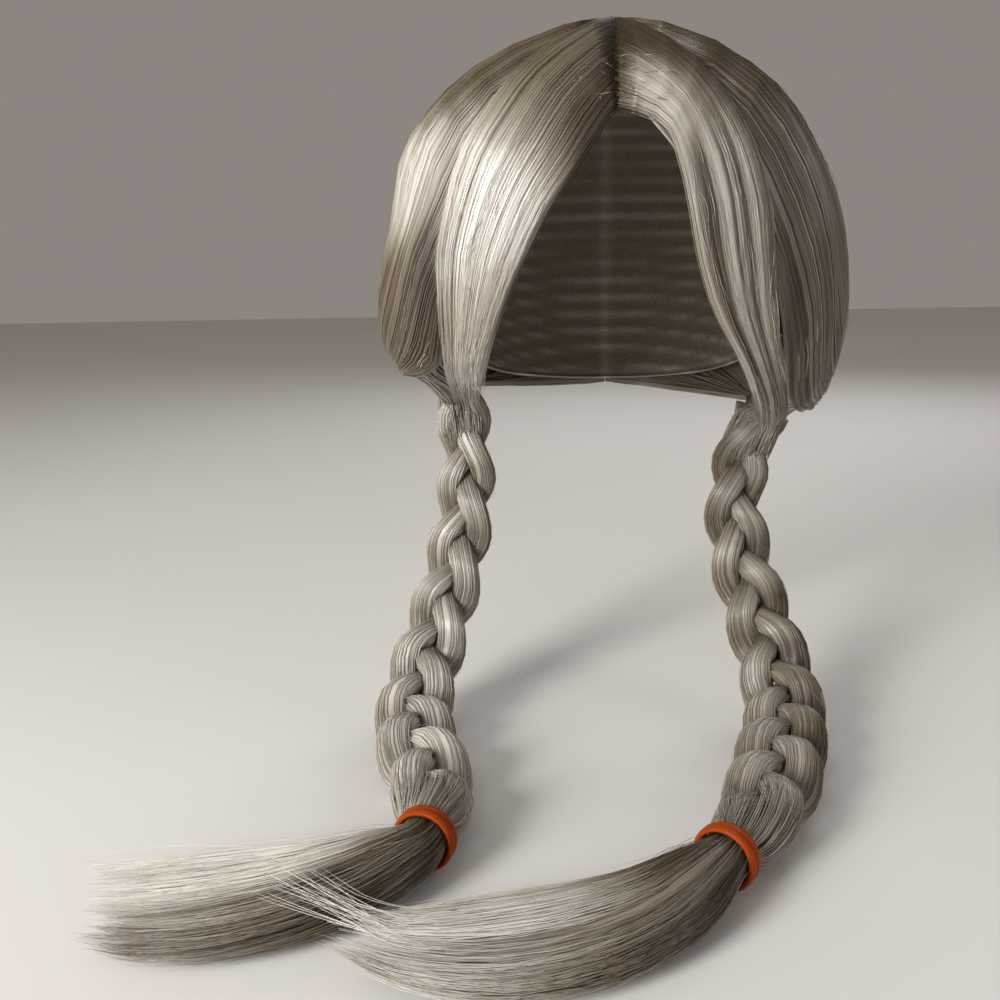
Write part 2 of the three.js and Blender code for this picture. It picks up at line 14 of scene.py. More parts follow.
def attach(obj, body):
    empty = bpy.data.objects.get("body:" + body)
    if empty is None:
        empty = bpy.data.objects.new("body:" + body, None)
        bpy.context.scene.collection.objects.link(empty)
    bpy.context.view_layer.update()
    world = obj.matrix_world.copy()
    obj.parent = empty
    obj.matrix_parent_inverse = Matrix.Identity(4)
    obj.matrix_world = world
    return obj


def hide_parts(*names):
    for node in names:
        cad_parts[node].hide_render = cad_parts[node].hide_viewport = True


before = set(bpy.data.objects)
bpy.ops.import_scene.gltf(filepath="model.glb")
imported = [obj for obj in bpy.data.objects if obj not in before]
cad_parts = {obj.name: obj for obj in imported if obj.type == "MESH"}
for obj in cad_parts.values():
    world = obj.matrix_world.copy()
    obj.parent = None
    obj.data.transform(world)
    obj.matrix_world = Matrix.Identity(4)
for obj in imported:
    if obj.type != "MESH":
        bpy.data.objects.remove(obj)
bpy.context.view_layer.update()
MM = 0.001
DEG = math.pi / 180

# ---------------------------------------------------------------- driving sizes, in mm

CENTRE = np.array([0.0, 0.0, -85.0])
FLOOR = -280.0
CAP_THICKNESS = 1.5
GAP = 0.4
PLAIT_PERIOD = 84.0
PLAIT_LOOSE_FROM = 150.0  # beyond this length from the gather the plait is looser
PLAIT_LOOSE_OVER = 170.0
PLAIT_LOOSENING = {-1: 0.9, 1: 0.5}
PLAIT_SWING = 8.4
PLAIT_WEAVE = 5.0
STRAND_HALF_WIDTH = 7.4
STRAND_HALF_THICKNESS = 5.6
BAND_BORE_R = 9.0
BAND_R = 11.2
BAND_WIDTH = 6.6
TAIL_NECK_R = 8.2
ROW_STEP = 15.0

# Distance from the centre every 15 degrees down from the crown.
PROFILE = {
    "head_side": [85, 86.3, 87.6, 86, 81, 77, 75, 76.3, 79, 82, 82],
    "head_front": [85, 87.3, 92, 96, 96.5, 94.5, 92.5, 90.5, 88, 86, 84],
    "head_back": [85, 87.5, 92.5, 98.5, 100.7, 99.2, 98, 97.5, 96.2, 93.5, 90.5],
    "hair_r": [95.5, 96, 96.5, 98, 98, 93, 96, 98.5, 92, 91, 88.5],
    "hair_l": [95.5, 96, 95.5, 95, 93, 93, 94, 97, 99.5, 94.5, 90],
    "hair_front": [96, 98, 100.5, 103, 103.5, 101.5, 100.5, 100, 99.5, 97, 92],
    "hair_back": [96, 99.5, 104.5, 109, 111.5, 111.5, 110.5, 107, 104.5, 100.5, 96],
}
# Shallow folds down the crown hair: azimuth at 50 and at 110 degrees down, depth, width.
FOLDS = {
    -1: [(33, 46, 4.2, 6), (78, 84, 2.2, 7), (118, 104, 1.6, 7), (146, 126, 1.8, 8)],
    1: [(32, 43, 3.2, 7), (60, 64, 1.6, 6), (112, 100, 1.6, 7), (146, 126, 1.8, 8)],
}
# Front locks, from the parting to the blunt end: face edge az, up; rear edge az, up; thickness.
FRINGE = {
    -1: [(0, 56, 0, 16, 4), (3.6, 61.2, 23.5, 39.7, 5.5), (8.3, 68.5, 31, 54, 6.5), (13.4, 75.6, 37, 67, 7),
         (18.5, 85, 40, 80, 7), (22.5, 93, 39.5, 91, 7), (27, 102, 39.5, 102, 6), (34, 115.5, 43, 115, 3)],
    1: [(0, 56, 0, 16, 4), (9.9, 60.8, 20, 41, 5.5), (12.9, 68.6, 28.5, 58, 6.5), (14.4, 77, 32, 72, 7),
        (16.3, 87, 33, 85, 7), (20.2, 97, 34.3, 97, 7), (28, 107.5, 39.5, 109, 6), (41, 124, 51.5, 124.4, 3)],
}
# Plaits: place, broad-face normal, size.
PLAIT = {
    -1: [(-68, 32, -136, -.45, -.9, 0, .8), (-65.5, 31, -160, -.35, -.9, 0, .84), (-66, 28, -184, -.25, -.95, 0, .88),
         (-69.5, 22, -208, -.2, -.95, .1, .92), (-76, 11, -233, -.15, -.85, .4, .97), (-82, -8, -254, -.1, -.6, .7, 1.02),
         (-84, -34, -266.5, -.05, -.2, 1, 1.05), (-78, -62, -268.4, 0, -.1, 1, 1.08), (-69, -90, -268.4, 0, 0, 1, 1.05),
         (-64.6, -110, -268.5, 0, 0, 1, .9), (-64.2, -120, -268.6, 0, 0, 1, .62)],
    1: [(70, 33, -146.5, .3, -.95, 0, .8), (62, 35, -168, .2, -.95, 0, .84), (58.5, 33, -190, .1, -1, 0, .88),
        (61, 27, -212, 0, -1, .1, .93), (67, 15, -235, -.1, -.85, .4, .98), (72.5, -5, -255, -.15, -.6, .7, 1.04),
        (72.5, -32, -266.5, -.15, -.2, 1, 1.08), (65.5, -62, -268.2, -.1, -.1, 1, 1.1), (56.5, -92, -268.2, 0, 0, 1, 1.06),
        (45.5, -118, -268.4, 0, 0, 1, .9), (40.2, -127.6, -268.6, 0, 0, 1, .62)],
}
# Tails beyond the bands: place, half width, half height, lean.
TAIL = {
    -1: [(-65.2, -129, -268.6, 8.2, 8.2, 0), (-66.4, -134.1, -268.6, 8.2, 8.2, 0), (-69.5, -139, -268.8, 10.5, 8.6, 0),
         (-76, -143, -269.8, 15, 8.2, 0), (-89, -149, -272, 20, 7.2, 0), (-107, -155, -273.8, 24.5, 5.8, 4),
         (-128, -159, -275.2, 27.5, 4.4, 10), (-148, -160, -276.6, 28, 3, 18), (-166, -158.5, -277.9, 26, 1.5, 26)],
    1: [(34.6, -136.4, -268.6, 8.2, 8.2, 0), (31.8, -140.8, -268.6, 8.2, 8.2, 0), (28, -145.6, -268.8, 10.3, 8.6, 0),
        (21, -152, -269.8, 14, 8.2, 0), (8, -162, -272, 18, 7.2, 0), (-13, -171.5, -273.6, 22, 5.9, 0),
        (-35, -178, -273.6, 22.5, 4.8, 0), (-52, -180.5, -273.2, 19.5, 4, 0), (-67, -180.5, -272.2, 15, 3, 0),
        (-79, -178.5, -271.2, 9.5, 1.8, 0)],
}
# Lower edge of the cap seen from the side: y, z.
CAP_RIM = [(-120, -28), (-83, -29), (-85, -45), (-83, -60), (-76, -85), (-64, -99), (-50, -107), (-30, -109),
           (-8, -104), (10, -107), (30, -118), (58, -130), (84, -136), (130, -138)]
# How the crown hair runs: one row per guide, from the front hairline over the crown and down the back parting.
# first is the guide's start, in degrees from the top along the parting, then az, up pairs down to the gather.
GUIDES = {
    -1: [(-56, (26, 74), (40, 97), (49, 110), (68, 112.5), (91, 116.5), (109, 121.5), (113, 127)),
         (-40, (30, 56), (45, 82), (54, 101), (70, 109.5), (91, 114), (110, 120), (113.5, 127)),
         (-24, (45, 45), (55, 68), (63, 88), (76, 101.5), (93, 111), (111, 118.5), (114, 127)),
         (-10, (62, 38), (66, 60), (71, 81), (81, 97), (95, 109), (112, 118), (114.5, 127)),
         (4, (85, 32), (80, 54), (80, 76), (87, 94), (98, 107.5), (113.5, 117.5), (115, 127)),
         (20, (112, 38), (97, 56), (91, 75), (94, 92), (101, 106.5), (115, 117.5), (115.5, 127)),
         (40, (138, 50), (118, 64), (105, 80), (103, 94), (106, 107), (116.5, 117.8), (116, 127)),
         (65, (156, 70), (140, 80), (125, 92), (116, 103), (113, 112), (118, 118.5), (116.5, 127)),
         (90, (166, 92), (152, 98), (138, 106), (126, 112), (120, 117), (119.5, 120), (117, 127)),
         (121, (168, 121.5), (157, 122), (146, 122), (136, 122), (128, 122.3), (121.5, 123), (117.5, 127))],
    1: [(-56, (26, 76), (41, 102), (51, 119), (69, 122.5), (91, 123), (109, 125.5), (113, 131)),
        (-40, (33, 58), (47, 86), (56, 109), (72, 118), (92, 121), (110, 124), (113.5, 131)),
        (-24, (47, 47), (57, 71), (65, 93), (78, 108), (94, 117), (111, 123), (114, 131)),
        (-10, (63, 39), (67, 62), (72, 85), (82, 102), (96, 114), (112, 122.3), (114.5, 131)),
        (4, (85, 32), (80, 54), (80, 78), (87, 97), (99, 112), (113.5, 121.8), (115, 131)),
        (20, (112, 38), (97, 57), (91, 77), (95, 96), (102, 111), (115, 121.8), (115.5, 131)),
        (40, (138, 50), (118, 65), (106, 82), (104, 98), (107, 112), (116.5, 122), (116, 131)),
        (65, (156, 70), (140, 81), (126, 94), (117, 107), (114, 117), (118, 122.6), (116.5, 131)),
        (90, (166, 92), (152, 99), (139, 108), (127, 116), (121, 121.5), (119.5, 124), (117, 131)),
        (121, (168, 122), (157, 123.5), (146, 124.5), (136, 125.3), (128, 126), (121.5, 126.8), (117.5, 131))],
}


# ---------------------------------------------------------------- small tools


def smooth(values, t):
    """Smooth value through evenly spaced rows, t counted in steps. values is (n,) or (n, m), t any shape."""
    v = np.asarray(values, float)
    n = len(v) - 1
    t = np.asarray(t, float)
    i = np.clip(np.floor(t).astype(int), 0, n - 1)
    f = np.clip(t - i, 0, 1)
    if v.ndim > 1:
        f = f[..., None]
    e = np.concatenate([[2 * v[0] - v[1]], v, [2 * v[-1] - v[-2]]])
    a, b, c, d = e[i], e[i + 1], e[i + 2], e[i + 3]
    return b + 0.5 * f * (c - a + f * (2 * a - 5 * b + 4 * c - d + f * (3 * (b - c) + d - a)))


def unit(v):
    return v / np.maximum(np.linalg.norm(v, axis=-1, keepdims=True), 1e-12)


def step(x, lo, hi):
    """0 below lo, 1 above hi, smooth between."""
    s = np.clip((np.asarray(x, float) - lo) / (hi - lo), 0, 1)
    return s * s * (3 - 2 * s)


def bump(x, middle, width):
    return np.exp(-(((x - middle) / width) ** 2))


def reach(what, side, az, up):
    """Distance from CENTRE to the inside of the cap ("head") or the outside of the hair ("hair"). Angles in degrees."""
    t = up / ROW_STEP
    sideways = "head_side" if what == "head" else ("hair_r" if side < 0 else "hair_l")
    across = smooth(PROFILE[sideways], t)
    long = np.where(np.abs(az) < 90, smooth(PROFILE[what + "_front"], t), smooth(PROFILE[what + "_back"], t))
    return 1 / np.hypot(np.sin(az * DEG) / across, np.cos(az * DEG) / long)


def direction(side, az, up):
    az, up = np.asarray(az, float) * DEG, np.asarray(up, float) * DEG
    return np.stack([side * np.sin(up) * np.sin(az), -np.sin(up) * np.cos(az), np.cos(up) + 0 * az], -1)


def angles(side, d):
    """az and up of unit directions."""
    up = np.degrees(np.arccos(np.clip(d[..., 2], -1, 1)))
    az = np.degrees(np.arctan2(side * d[..., 0], -d[..., 1]))
    return np.clip(az, 0, 180), up


def fold_depth(side, az, up):
    depth = 0
    for top, low, deep, width in FOLDS[side]:
        line = top + (low - top) * (up - 50) / 60
        begin = (up - 52) / 20 if top < 40 else (up - 20) / 30
        depth = depth + deep * np.exp(-(((az - line) / width) ** 2)) * np.clip(begin, 0, 1)
    return depth


def waves(rng, shape, t, low, high, count=3):
    """Slow random waves along t (N, K), one set per strand, about -1..1."""
    total = 0
    for _ in range(count):
        f = rng.uniform(low, high, (shape, 1))
        total = total + rng.normal(0, 1, (shape, 1)) * np.sin(2 * math.pi * (f * t + rng.uniform(0, 1, (shape, 1))))
    return total / count


# ---------------------------------------------------------------- colours and materials

DARK = np.array([0.043, 0.028, 0.013])
MID = np.array([0.272, 0.241, 0.193])
LIGHT = np.array([0.640, 0.610, 0.550])


def hair_colour(tone):
    """Colour of hair for a tone from 0 (deep brown grey) over 0.5 (ash) to 1 (near white)."""
    tone = np.clip(tone, 0, 1.15)[..., None]
    # the darker it is, the browner
    low = DARK + (MID - DARK) * np.clip(tone * 2, 0, 1) ** np.array([1.0, 1.08, 1.22])
    return low + (LIGHT - MID) * np.clip(tone * 2 - 1, 0, 1.3)


def node(tree, kind, place, **values):
    n = tree.nodes.new(kind)
    n.location = place
    for key, value in values.items():
        if key in n.inputs:
            n.inputs[key].default_value = value
        else:
            setattr(n, key, value)
    return n


def new_material(name):
    m = bpy.data.materials.new(name)
    m.use_nodes = True
    tree = m.node_tree
    for n in list(tree.nodes):
        if n.type != "OUTPUT_MATERIAL":
            tree.nodes.remove(n)
    out = next(n for n in tree.nodes if n.type == "OUTPUT_MATERIAL")
    shader = node(tree, "ShaderNodeBsdfPrincipled", (0, 0))
    tree.links.new(shader.outputs["BSDF"], out.inputs["Surface"])
    return m, tree, shader


def hair_material(name, rough=(0.24, 0.36), specular=0.8, fibre=False):
    """Glossy straight synthetic fibre. The colour comes strand by strand, broken up a little by noise; fibre adds the
    fine lines of the hair to a body that stands for many strands."""
    m, tree, shader = new_material(name)
    link = tree.links.new
    tone = node(tree, "ShaderNodeVertexColor", (-900, 200), layer_name="tone")
    place = node(tree, "ShaderNodeTexCoord", (-1300, -200))
    patchy = node(tree, "ShaderNodeTexNoise", (-900, -60), Scale=90.0, Detail=2.0, Roughness=0.5)
    link(place.outputs["Object"], patchy.inputs["Vector"])
    span = node(tree, "ShaderNodeMapRange", (-680, -60))
    span.inputs["From Min"].default_value = 0.3
    span.inputs["From Max"].default_value = 0.7
    span.inputs["To Min"].default_value = 0.96
    span.inputs["To Max"].default_value = 1.04
    link(patchy.outputs["Fac"], span.inputs["Value"])
    mix = node(tree, "ShaderNodeVectorMath", (-420, 160), operation="MULTIPLY")
    link(tone.outputs["Color"], mix.inputs[0])
    link(span.outputs["Result"], mix.inputs[1])
    if fibre:
        # fine lines along the hair, in the map that runs with it
        uv = node(tree, "ShaderNodeUVMap", (-1300, -500), uv_map="flow")
        stretch = node(tree, "ShaderNodeMapping", (-1120, -500))
        stretch.inputs["Scale"].default_value = (300.0, 2.2, 1.0)
        fine = node(tree, "ShaderNodeTexNoise", (-900, -480), Scale=1.0, Detail=2.0, Roughness=0.6)
        link(uv.outputs["UV"], stretch.inputs["Vector"])
        link(stretch.outputs["Vector"], fine.inputs["Vector"])
        lines = node(tree, "ShaderNodeMapRange", (-680, -480))
        lines.inputs["From Min"].default_value = 0.32
        lines.inputs["From Max"].default_value = 0.68
        lines.inputs["To Min"].default_value = 0.74
        lines.inputs["To Max"].default_value = 1.24
        link(fine.outputs["Fac"], lines.inputs["Value"])
        again = node(tree, "ShaderNodeVectorMath", (-220, 160), operation="MULTIPLY")
        link(mix.outputs["Vector"], again.inputs[0])
        link(lines.outputs["Result"], again.inputs[1])
        link(again.outputs["Vector"], shader.inputs["Base Color"])
        relief = node(tree, "ShaderNodeBump", (-220, -420), Strength=0.8, Distance=0.0003)
        link(fine.outputs["Fac"], relief.inputs["Height"])
        link(relief.outputs["Normal"], shader.inputs["Normal"])
    else:
        link(mix.outputs["Vector"], shader.inputs["Base Color"])
    gloss = node(tree, "ShaderNodeMapRange", (-420, -120))
    gloss.inputs["From Min"].default_value = 0.3
    gloss.inputs["From Max"].default_value = 0.7
    gloss.inputs["To Min"].default_value = rough[0]
    gloss.inputs["To Max"].default_value = rough[1]
    link(patchy.outputs["Fac"], gloss.inputs["Value"])
    link(gloss.outputs["Result"], shader.inputs["Roughness"])
    shader.inputs["Specular IOR Level"].default_value = specular
    shader.inputs["IOR"].default_value = 1.55
    if fibre:
        shader.inputs["Anisotropic"].default_value = 0.6
        tangent = node(tree, "ShaderNodeTangent", (-420, -600), direction_type="UV_MAP", uv_map="flow")
        link(tangent.outputs["Tangent"], shader.inputs["Tangent"])
    return m


HAIR = hair_material("hair_strands", rough=(0.28, 0.34))
HAIR_BODY = hair_material("hair_body", rough=(0.30, 0.42), specular=0.7, fibre=True)


# ---------------------------------------------------------------- meshes


def make_mesh(name, verts, quads, tris, colour=None, uvs=None, flow=None, material=None, which=None, smooth_faces=True):
    """An object from arrays. verts in metres; quads (Q, 4), tris (T, 3); uvs (loops, 2) for the bake map and flow (loops, 2)
    for the map that runs with the hair; colour (V, 3); which (faces,) is the place of each face's material in the list."""
    me = bpy.data.meshes.new(name)
    verts = np.ascontiguousarray(verts, np.float32).reshape(-1, 3)
    quads = np.asarray(quads, np.int32).reshape(-1, 4)
    tris = np.asarray(tris, np.int32).reshape(-1, 3)
    me.vertices.add(len(verts))
    me.vertices.foreach_set("co", verts.ravel())
    loops = np.concatenate([quads.ravel(), tris.ravel()]).astype(np.int32)
    me.loops.add(len(loops))
    me.loops.foreach_set("vertex_index", loops)
    start = np.concatenate([np.arange(len(quads)) * 4, quads.size + np.arange(len(tris)) * 3]).astype(np.int32)
    me.polygons.add(len(start))
    me.polygons.foreach_set("loop_start", start)
    me.polygons.foreach_set("use_smooth", np.full(len(start), smooth_faces))
    me.update(calc_edges=True)
    for layer, values in (("OFBake", uvs), ("flow", flow)):
        if values is not None:
            uv = me.uv_layers.new(name=layer)
            uv.uv.foreach_set("vector", np.ascontiguousarray(values, np.float32).ravel())
    if colour is not None:
        c = np.ones((len(verts), 4), np.float32)
        c[:, :3] = np.clip(np.asarray(colour).reshape(-1, 3), 0, 1)
        attribute = me.color_attributes.new("tone", "FLOAT_COLOR", "POINT")
        attribute.data.foreach_set("color", c.ravel())
    if me.validate():
        print("repaired", name)
    o = bpy.data.objects.new(name, me)
    bpy.context.scene.collection.objects.link(o)
    for m in material if isinstance(material, (list, tuple)) else [material]:
        me.materials.append(m)
    if which is not None:
        me.polygons.foreach_set("material_index", np.asarray(which, np.int32))
    return o


def tubes(paths, radius, colour, outward=None, sides=3):
    """Closed tubes along paths (N, K, 3) in mm, radius (N, K) in mm, colour (N, K, 3). Returns arrays for make_mesh."""
    n, k, _ = paths.shape
    along = np.empty_like(paths)
    along[:, 1:-1] = paths[:, 2:] - paths[:, :-2]
    along[:, 0] = paths[:, 1] - paths[:, 0]
    along[:, -1] = paths[:, -1] - paths[:, -2]
    along = unit(along)
    if outward is None:
        outward = np.zeros_like(paths)
        outward[..., 2] = 1
        outward[..., 0] = 0.13
    up = outward - along * np.sum(outward * along, -1, keepdims=True)
    up = unit(up)
    over = np.cross(along, up)
    turn = 2 * math.pi * np.arange(sides) / sides
    ring = up[:, :, None] * np.cos(turn)[None, None, :, None] + over[:, :, None] * np.sin(turn)[None, None, :, None]
    verts = paths[:, :, None] + ring * radius[:, :, None, None]
    base = (np.arange(n) * k * sides)[:, None, None]
    i = np.arange(k - 1)[None, :, None] * sides
    j = np.arange(sides)[None, None, :]
    j2 = (j + 1) % sides
    quads = np.stack([base + i + j, base + i + j2, base + i + sides + j2, base + i + sides + j], -1).reshape(-1, 4)
    first = (np.arange(n) * k * sides)[:, None]
    last = first + (k - 1) * sides
    if sides == 3:
        tris = np.concatenate([first + np.array([[0, 2, 1]]), last + np.array([[0, 1, 2]])])
    else:
        fan = np.arange(1, sides - 1)
        tris = np.concatenate(
            [np.concatenate([first + np.array([[0, f + 1, f]]), last + np.array([[0, f, f + 1]])]) for f in fan])
    col = np.repeat(colour[:, :, None], sides, 2)
    # bake map: each tube is a narrow strip in a grid of cells
    columns = int(math.ceil(math.sqrt(n * 14)))
    rows = int(math.ceil(n / columns))
    cell_u, cell_v = 1 / columns, 1 / rows
    cu = (np.arange(n) % columns) * cell_u
    cv = (np.arange(n) // columns) * cell_v
    ju = np.stack([j, j + 1, j + 1, j], -1) / sides
    iv = np.stack([i, i, i + sides, i + sides], -1) / sides / (k - 1)
    u = cu[:, None, None, None] + cell_u * (0.08 + 0.84 * ju) + 0 * iv
    v = cv[:, None, None, None] + cell_v * (0.03 + 0.94 * iv) + 0 * ju
    quv = np.stack([u, v], -1).reshape(-1, 2)
    corner = np.array([[0.1, 0.002], [0.5, 0.002], [0.3, 0.025]])
    per = []
    for end in (0, 1):
        for _ in range(max(1, sides - 2) if sides != 3 else 1):
            c = np.empty((n, 3, 2))
            c[..., 0] = cu[:, None] + cell_u * corner[:, 0]
            c[..., 1] = cv[:, None] + cell_v * (corner[:, 1] + (0.972 if end else 0))
            per.append(c)
    if sides == 3:
        tuv = np.concatenate(per).reshape(-1, 2)
    else:
        half = len(per) // 2
        tuv = np.concatenate([np.concatenate([per[f], per[half + f]]) for f in range(half)]).reshape(-1, 2)
    uvs = np.concatenate([quv, tuv])
    return dict(verts=verts.reshape(-1, 3), quads=quads, tris=tris, colour=col.reshape(-1, 3), uvs=uvs, flow=uvs.copy())


def sheet_body(outer, inner, colour_out, colour_in, size):
    """A closed body between two grids (A, B, 3) in mm: across first, then along. Its rim is closed all round. size is how
    far the grid goes across and along, in mm."""
    a, b, _ = outer.shape
    verts = np.concatenate([outer.reshape(-1, 3), inner.reshape(-1, 3)])
    i, j = np.meshgrid(np.arange(a - 1), np.arange(b - 1), indexing="ij")
    p = (i * b + j).ravel()
    top = np.stack([p, p + 1, p + b + 1, p + b], 1)
    low = top[:, ::-1] + a * b
    edge = []
    ia, jb = np.arange(a - 1), np.arange(b - 1)
    for first, second in (
        (ia * b, (ia + 1) * b),
        ((ia + 1) * b + b - 1, ia * b + b - 1),
        ((jb + 1), jb),
        ((a - 1) * b + jb, (a - 1) * b + jb + 1),
    ):
        edge.append(np.stack([first, second, second + a * b, first + a * b], 1))
    edge = np.concatenate(edge)
    quads = np.concatenate([top, low, edge])
    iu = i.ravel() / (a - 1)
    jv = j.ravel() / (b - 1)
    du, dv = 1 / (a - 1), 1 / (b - 1)
    u = np.stack([iu, iu, iu + du, iu + du], 1)
    v = np.stack([jv, jv + dv, jv + dv, jv], 1)
    top_uv = np.stack([0.005 + 0.61 * u, 0.005 + 0.97 * v], -1)
    low_uv = np.stack([0.63 + 0.36 * u, 0.005 + 0.97 * v], -1)[:, ::-1]
    ne = len(edge)
    q = np.arange(ne) / ne
    e_uv = np.empty((ne, 4, 2))
    e_uv[:, :, 0] = np.stack([q, q + 1 / ne, q + 1 / ne, q], 1)
    e_uv[:, :, 1] = np.array([0.980, 0.980, 0.996, 0.996])
    run = np.stack([u * size[0] / 100, v * size[1] / 100], -1)
    flow = np.concatenate([run, run[:, ::-1], e_uv])
    return dict(
        verts=verts,
        quads=quads,
        tris=np.zeros((0, 3), int),
        colour=np.concatenate([colour_out.reshape(-1, 3), colour_in.reshape(-1, 3)]),
        uvs=np.concatenate([top_uv, low_uv, e_uv]).reshape(-1, 2),
        flow=flow.reshape(-1, 2),
    )


def loft_body(rings, colour, size):
    """A closed body through rings (B, A, 3) in mm, each ring closed on itself, with pointed caps. size is as above."""
    b, a, _ = rings.shape
    verts = np.concatenate([rings.reshape(-1, 3), rings[0].mean(0)[None], rings[-1].mean(0)[None]])
    i, j = np.meshgrid(np.arange(b - 1), np.arange(a), indexing="ij")
    i, j = i.ravel(), j.ravel()
    j2 = (j + 1) % a
    quads = np.stack([i * a + j, i * a + j2, (i + 1) * a + j2, (i + 1) * a + j], 1)
    ja = np.arange(a)
    tris = np.concatenate([
        np.stack([np.full(a, b * a), (ja + 1) % a, ja], 1),
        np.stack([np.full(a, b * a + 1), (b - 1) * a + ja, (b - 1) * a + (ja + 1) % a], 1),
    ])
    u = np.stack([j, j + 1, j + 1, j], 1) / a
    v = np.stack([i, i, i + 1, i + 1], 1) / (b - 1)
    quv = np.stack([u * 0.99 + 0.005, v * 0.93 + 0.03], -1).reshape(-1, 2)
    tuv = np.empty((2 * a, 3, 2))
    w = ja / a * 0.98 + 0.01
    d = 0.98 / a
    for s, off in ((0, 0.004), (1, 0.97)):
        block = tuv[s * a:(s + 1) * a]
        block[:, 0] = np.stack([w + d / 2, np.full(a, off + 0.012)], 1)
        block[:, 1] = np.stack([w + (d if s == 0 else 0), np.full(a, off)], 1)
        block[:, 2] = np.stack([w + (0 if s == 0 else d), np.full(a, off)], 1)
    return dict(
        verts=verts,
        quads=quads,
        tris=tris,
        colour=np.concatenate([colour.reshape(-1, 3), colour[0].mean(0)[None], colour[-1].mean(0)[None]]),
        uvs=np.concatenate([quv, tuv.reshape(-1, 2)]),
        flow=np.concatenate([np.stack([u * size[0] / 100, v * size[1] / 100], -1).reshape(-1, 2), tuv.reshape(-1, 2)]),
    )


def join(parts):
    """One set of arrays from several, their bake maps side by side. A part that has body=True takes the second material."""
    out = {k: [] for k in ("verts", "quads", "tris", "colour", "quv", "tuv", "qflow", "tflow", "qwhich", "twhich")}
    base = 0
    weight = np.array([float(p.get("weight", 1)) for p in parts])
    share = np.cumsum(np.concatenate([[0], weight / weight.sum()]))
    for n, p in enumerate(parts):
        out["verts"].append(p["verts"])
        out["quads"].append(p["quads"] + base)
        out["tris"].append(p["tris"] + base)
        out["colour"].append(p["colour"])
        uv = p["uvs"].copy()
        uv[:, 1] = share[n] + (share[n + 1] - share[n]) * (0.01 + 0.98 * uv[:, 1])
        nq = p["quads"].size
        out["quv"].append(uv[:nq])
        out["tuv"].append(uv[nq:])
        out["qflow"].append(p["flow"][:nq])
        out["tflow"].append(p["flow"][nq:])
        out["qwhich"].append(np.full(len(p["quads"]), int(p.get("body", False))))
        out["twhich"].append(np.full(len(p["tris"]), int(p.get("body", False))))
        base += len(p["verts"])
    cat = np.concatenate
    return dict(verts=cat(out["verts"]), quads=cat(out["quads"]), tris=cat(out["tris"]), colour=cat(out["colour"]),
                uvs=cat(out["quv"] + out["tuv"]), flow=cat(out["qflow"] + out["tflow"]),
                which=cat(out["qwhich"] + out["twhich"]))


def place_piece(name, arrays, material, slot, *nodes):
    """The object, in metres, riding on the wig and standing for CAD nodes."""
    arrays = dict(arrays)
    arrays["verts"] = arrays["verts"] * MM
    o = make_mesh(name, material=material, **arrays)
    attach(o, "root")
    if nodes:
        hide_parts(*nodes)
    print(name, len(arrays["quads"]) * 2 + len(arrays["tris"]), "triangles")
    return o


# ---------------------------------------------------------------- camera, floor and light


def camera():
    yaw = -(-1.5 * DEG + math.atan(112 / 1050))
    pitch, roll = 12.55 * DEG, -1.2 * DEG
    forward = np.array([math.sin(yaw) * math.cos(pitch), math.cos(yaw) * math.cos(pitch), -math.sin(pitch)])
    right = unit(np.cross(forward, [0, 0, 1.0]))
    up = np.cross(right, forward)
    c, s = math.cos(roll), math.sin(roll)
    right, up = c * right + s * up, -s * right + c * up
    data = bpy.data.cameras.new("camera")
    data.lens, data.sensor_width, data.clip_start = 37.8, 36.0, 0.01
    o = bpy.data.objects.new("camera", data)
    bpy.context.scene.collection.objects.link(o)
    m = Matrix.Identity(4)
    for row in range(3):
        m[row][0], m[row][1], m[row][2] = right[row], up[row], -forward[row]
        m[row][3] = (-11.753, -448.846, -80.0)[row] * MM
    o.matrix_world = m
    bpy.context.scene.camera = o


def area_light(name, place, target, size, power, colour=(1, 1, 1)):
    data = bpy.data.lights.new(name, "AREA")
    data.shape, data.size, data.size_y, data.energy, data.color = "RECTANGLE", size[0], size[1], power, colour
    o = bpy.data.objects.new(name, data)
    bpy.context.scene.collection.objects.link(o)
    z = unit(np.array(place, float) - np.array(target, float))
    x = unit(np.cross([0, 0, 1.0], z))
    y = np.cross(z, x)
    m = Matrix.Identity(4)
    for row in range(3):
        m[row][0], m[row][1], m[row][2], m[row][3] = x[row], y[row], z[row], place[row]
    o.matrix_world = m


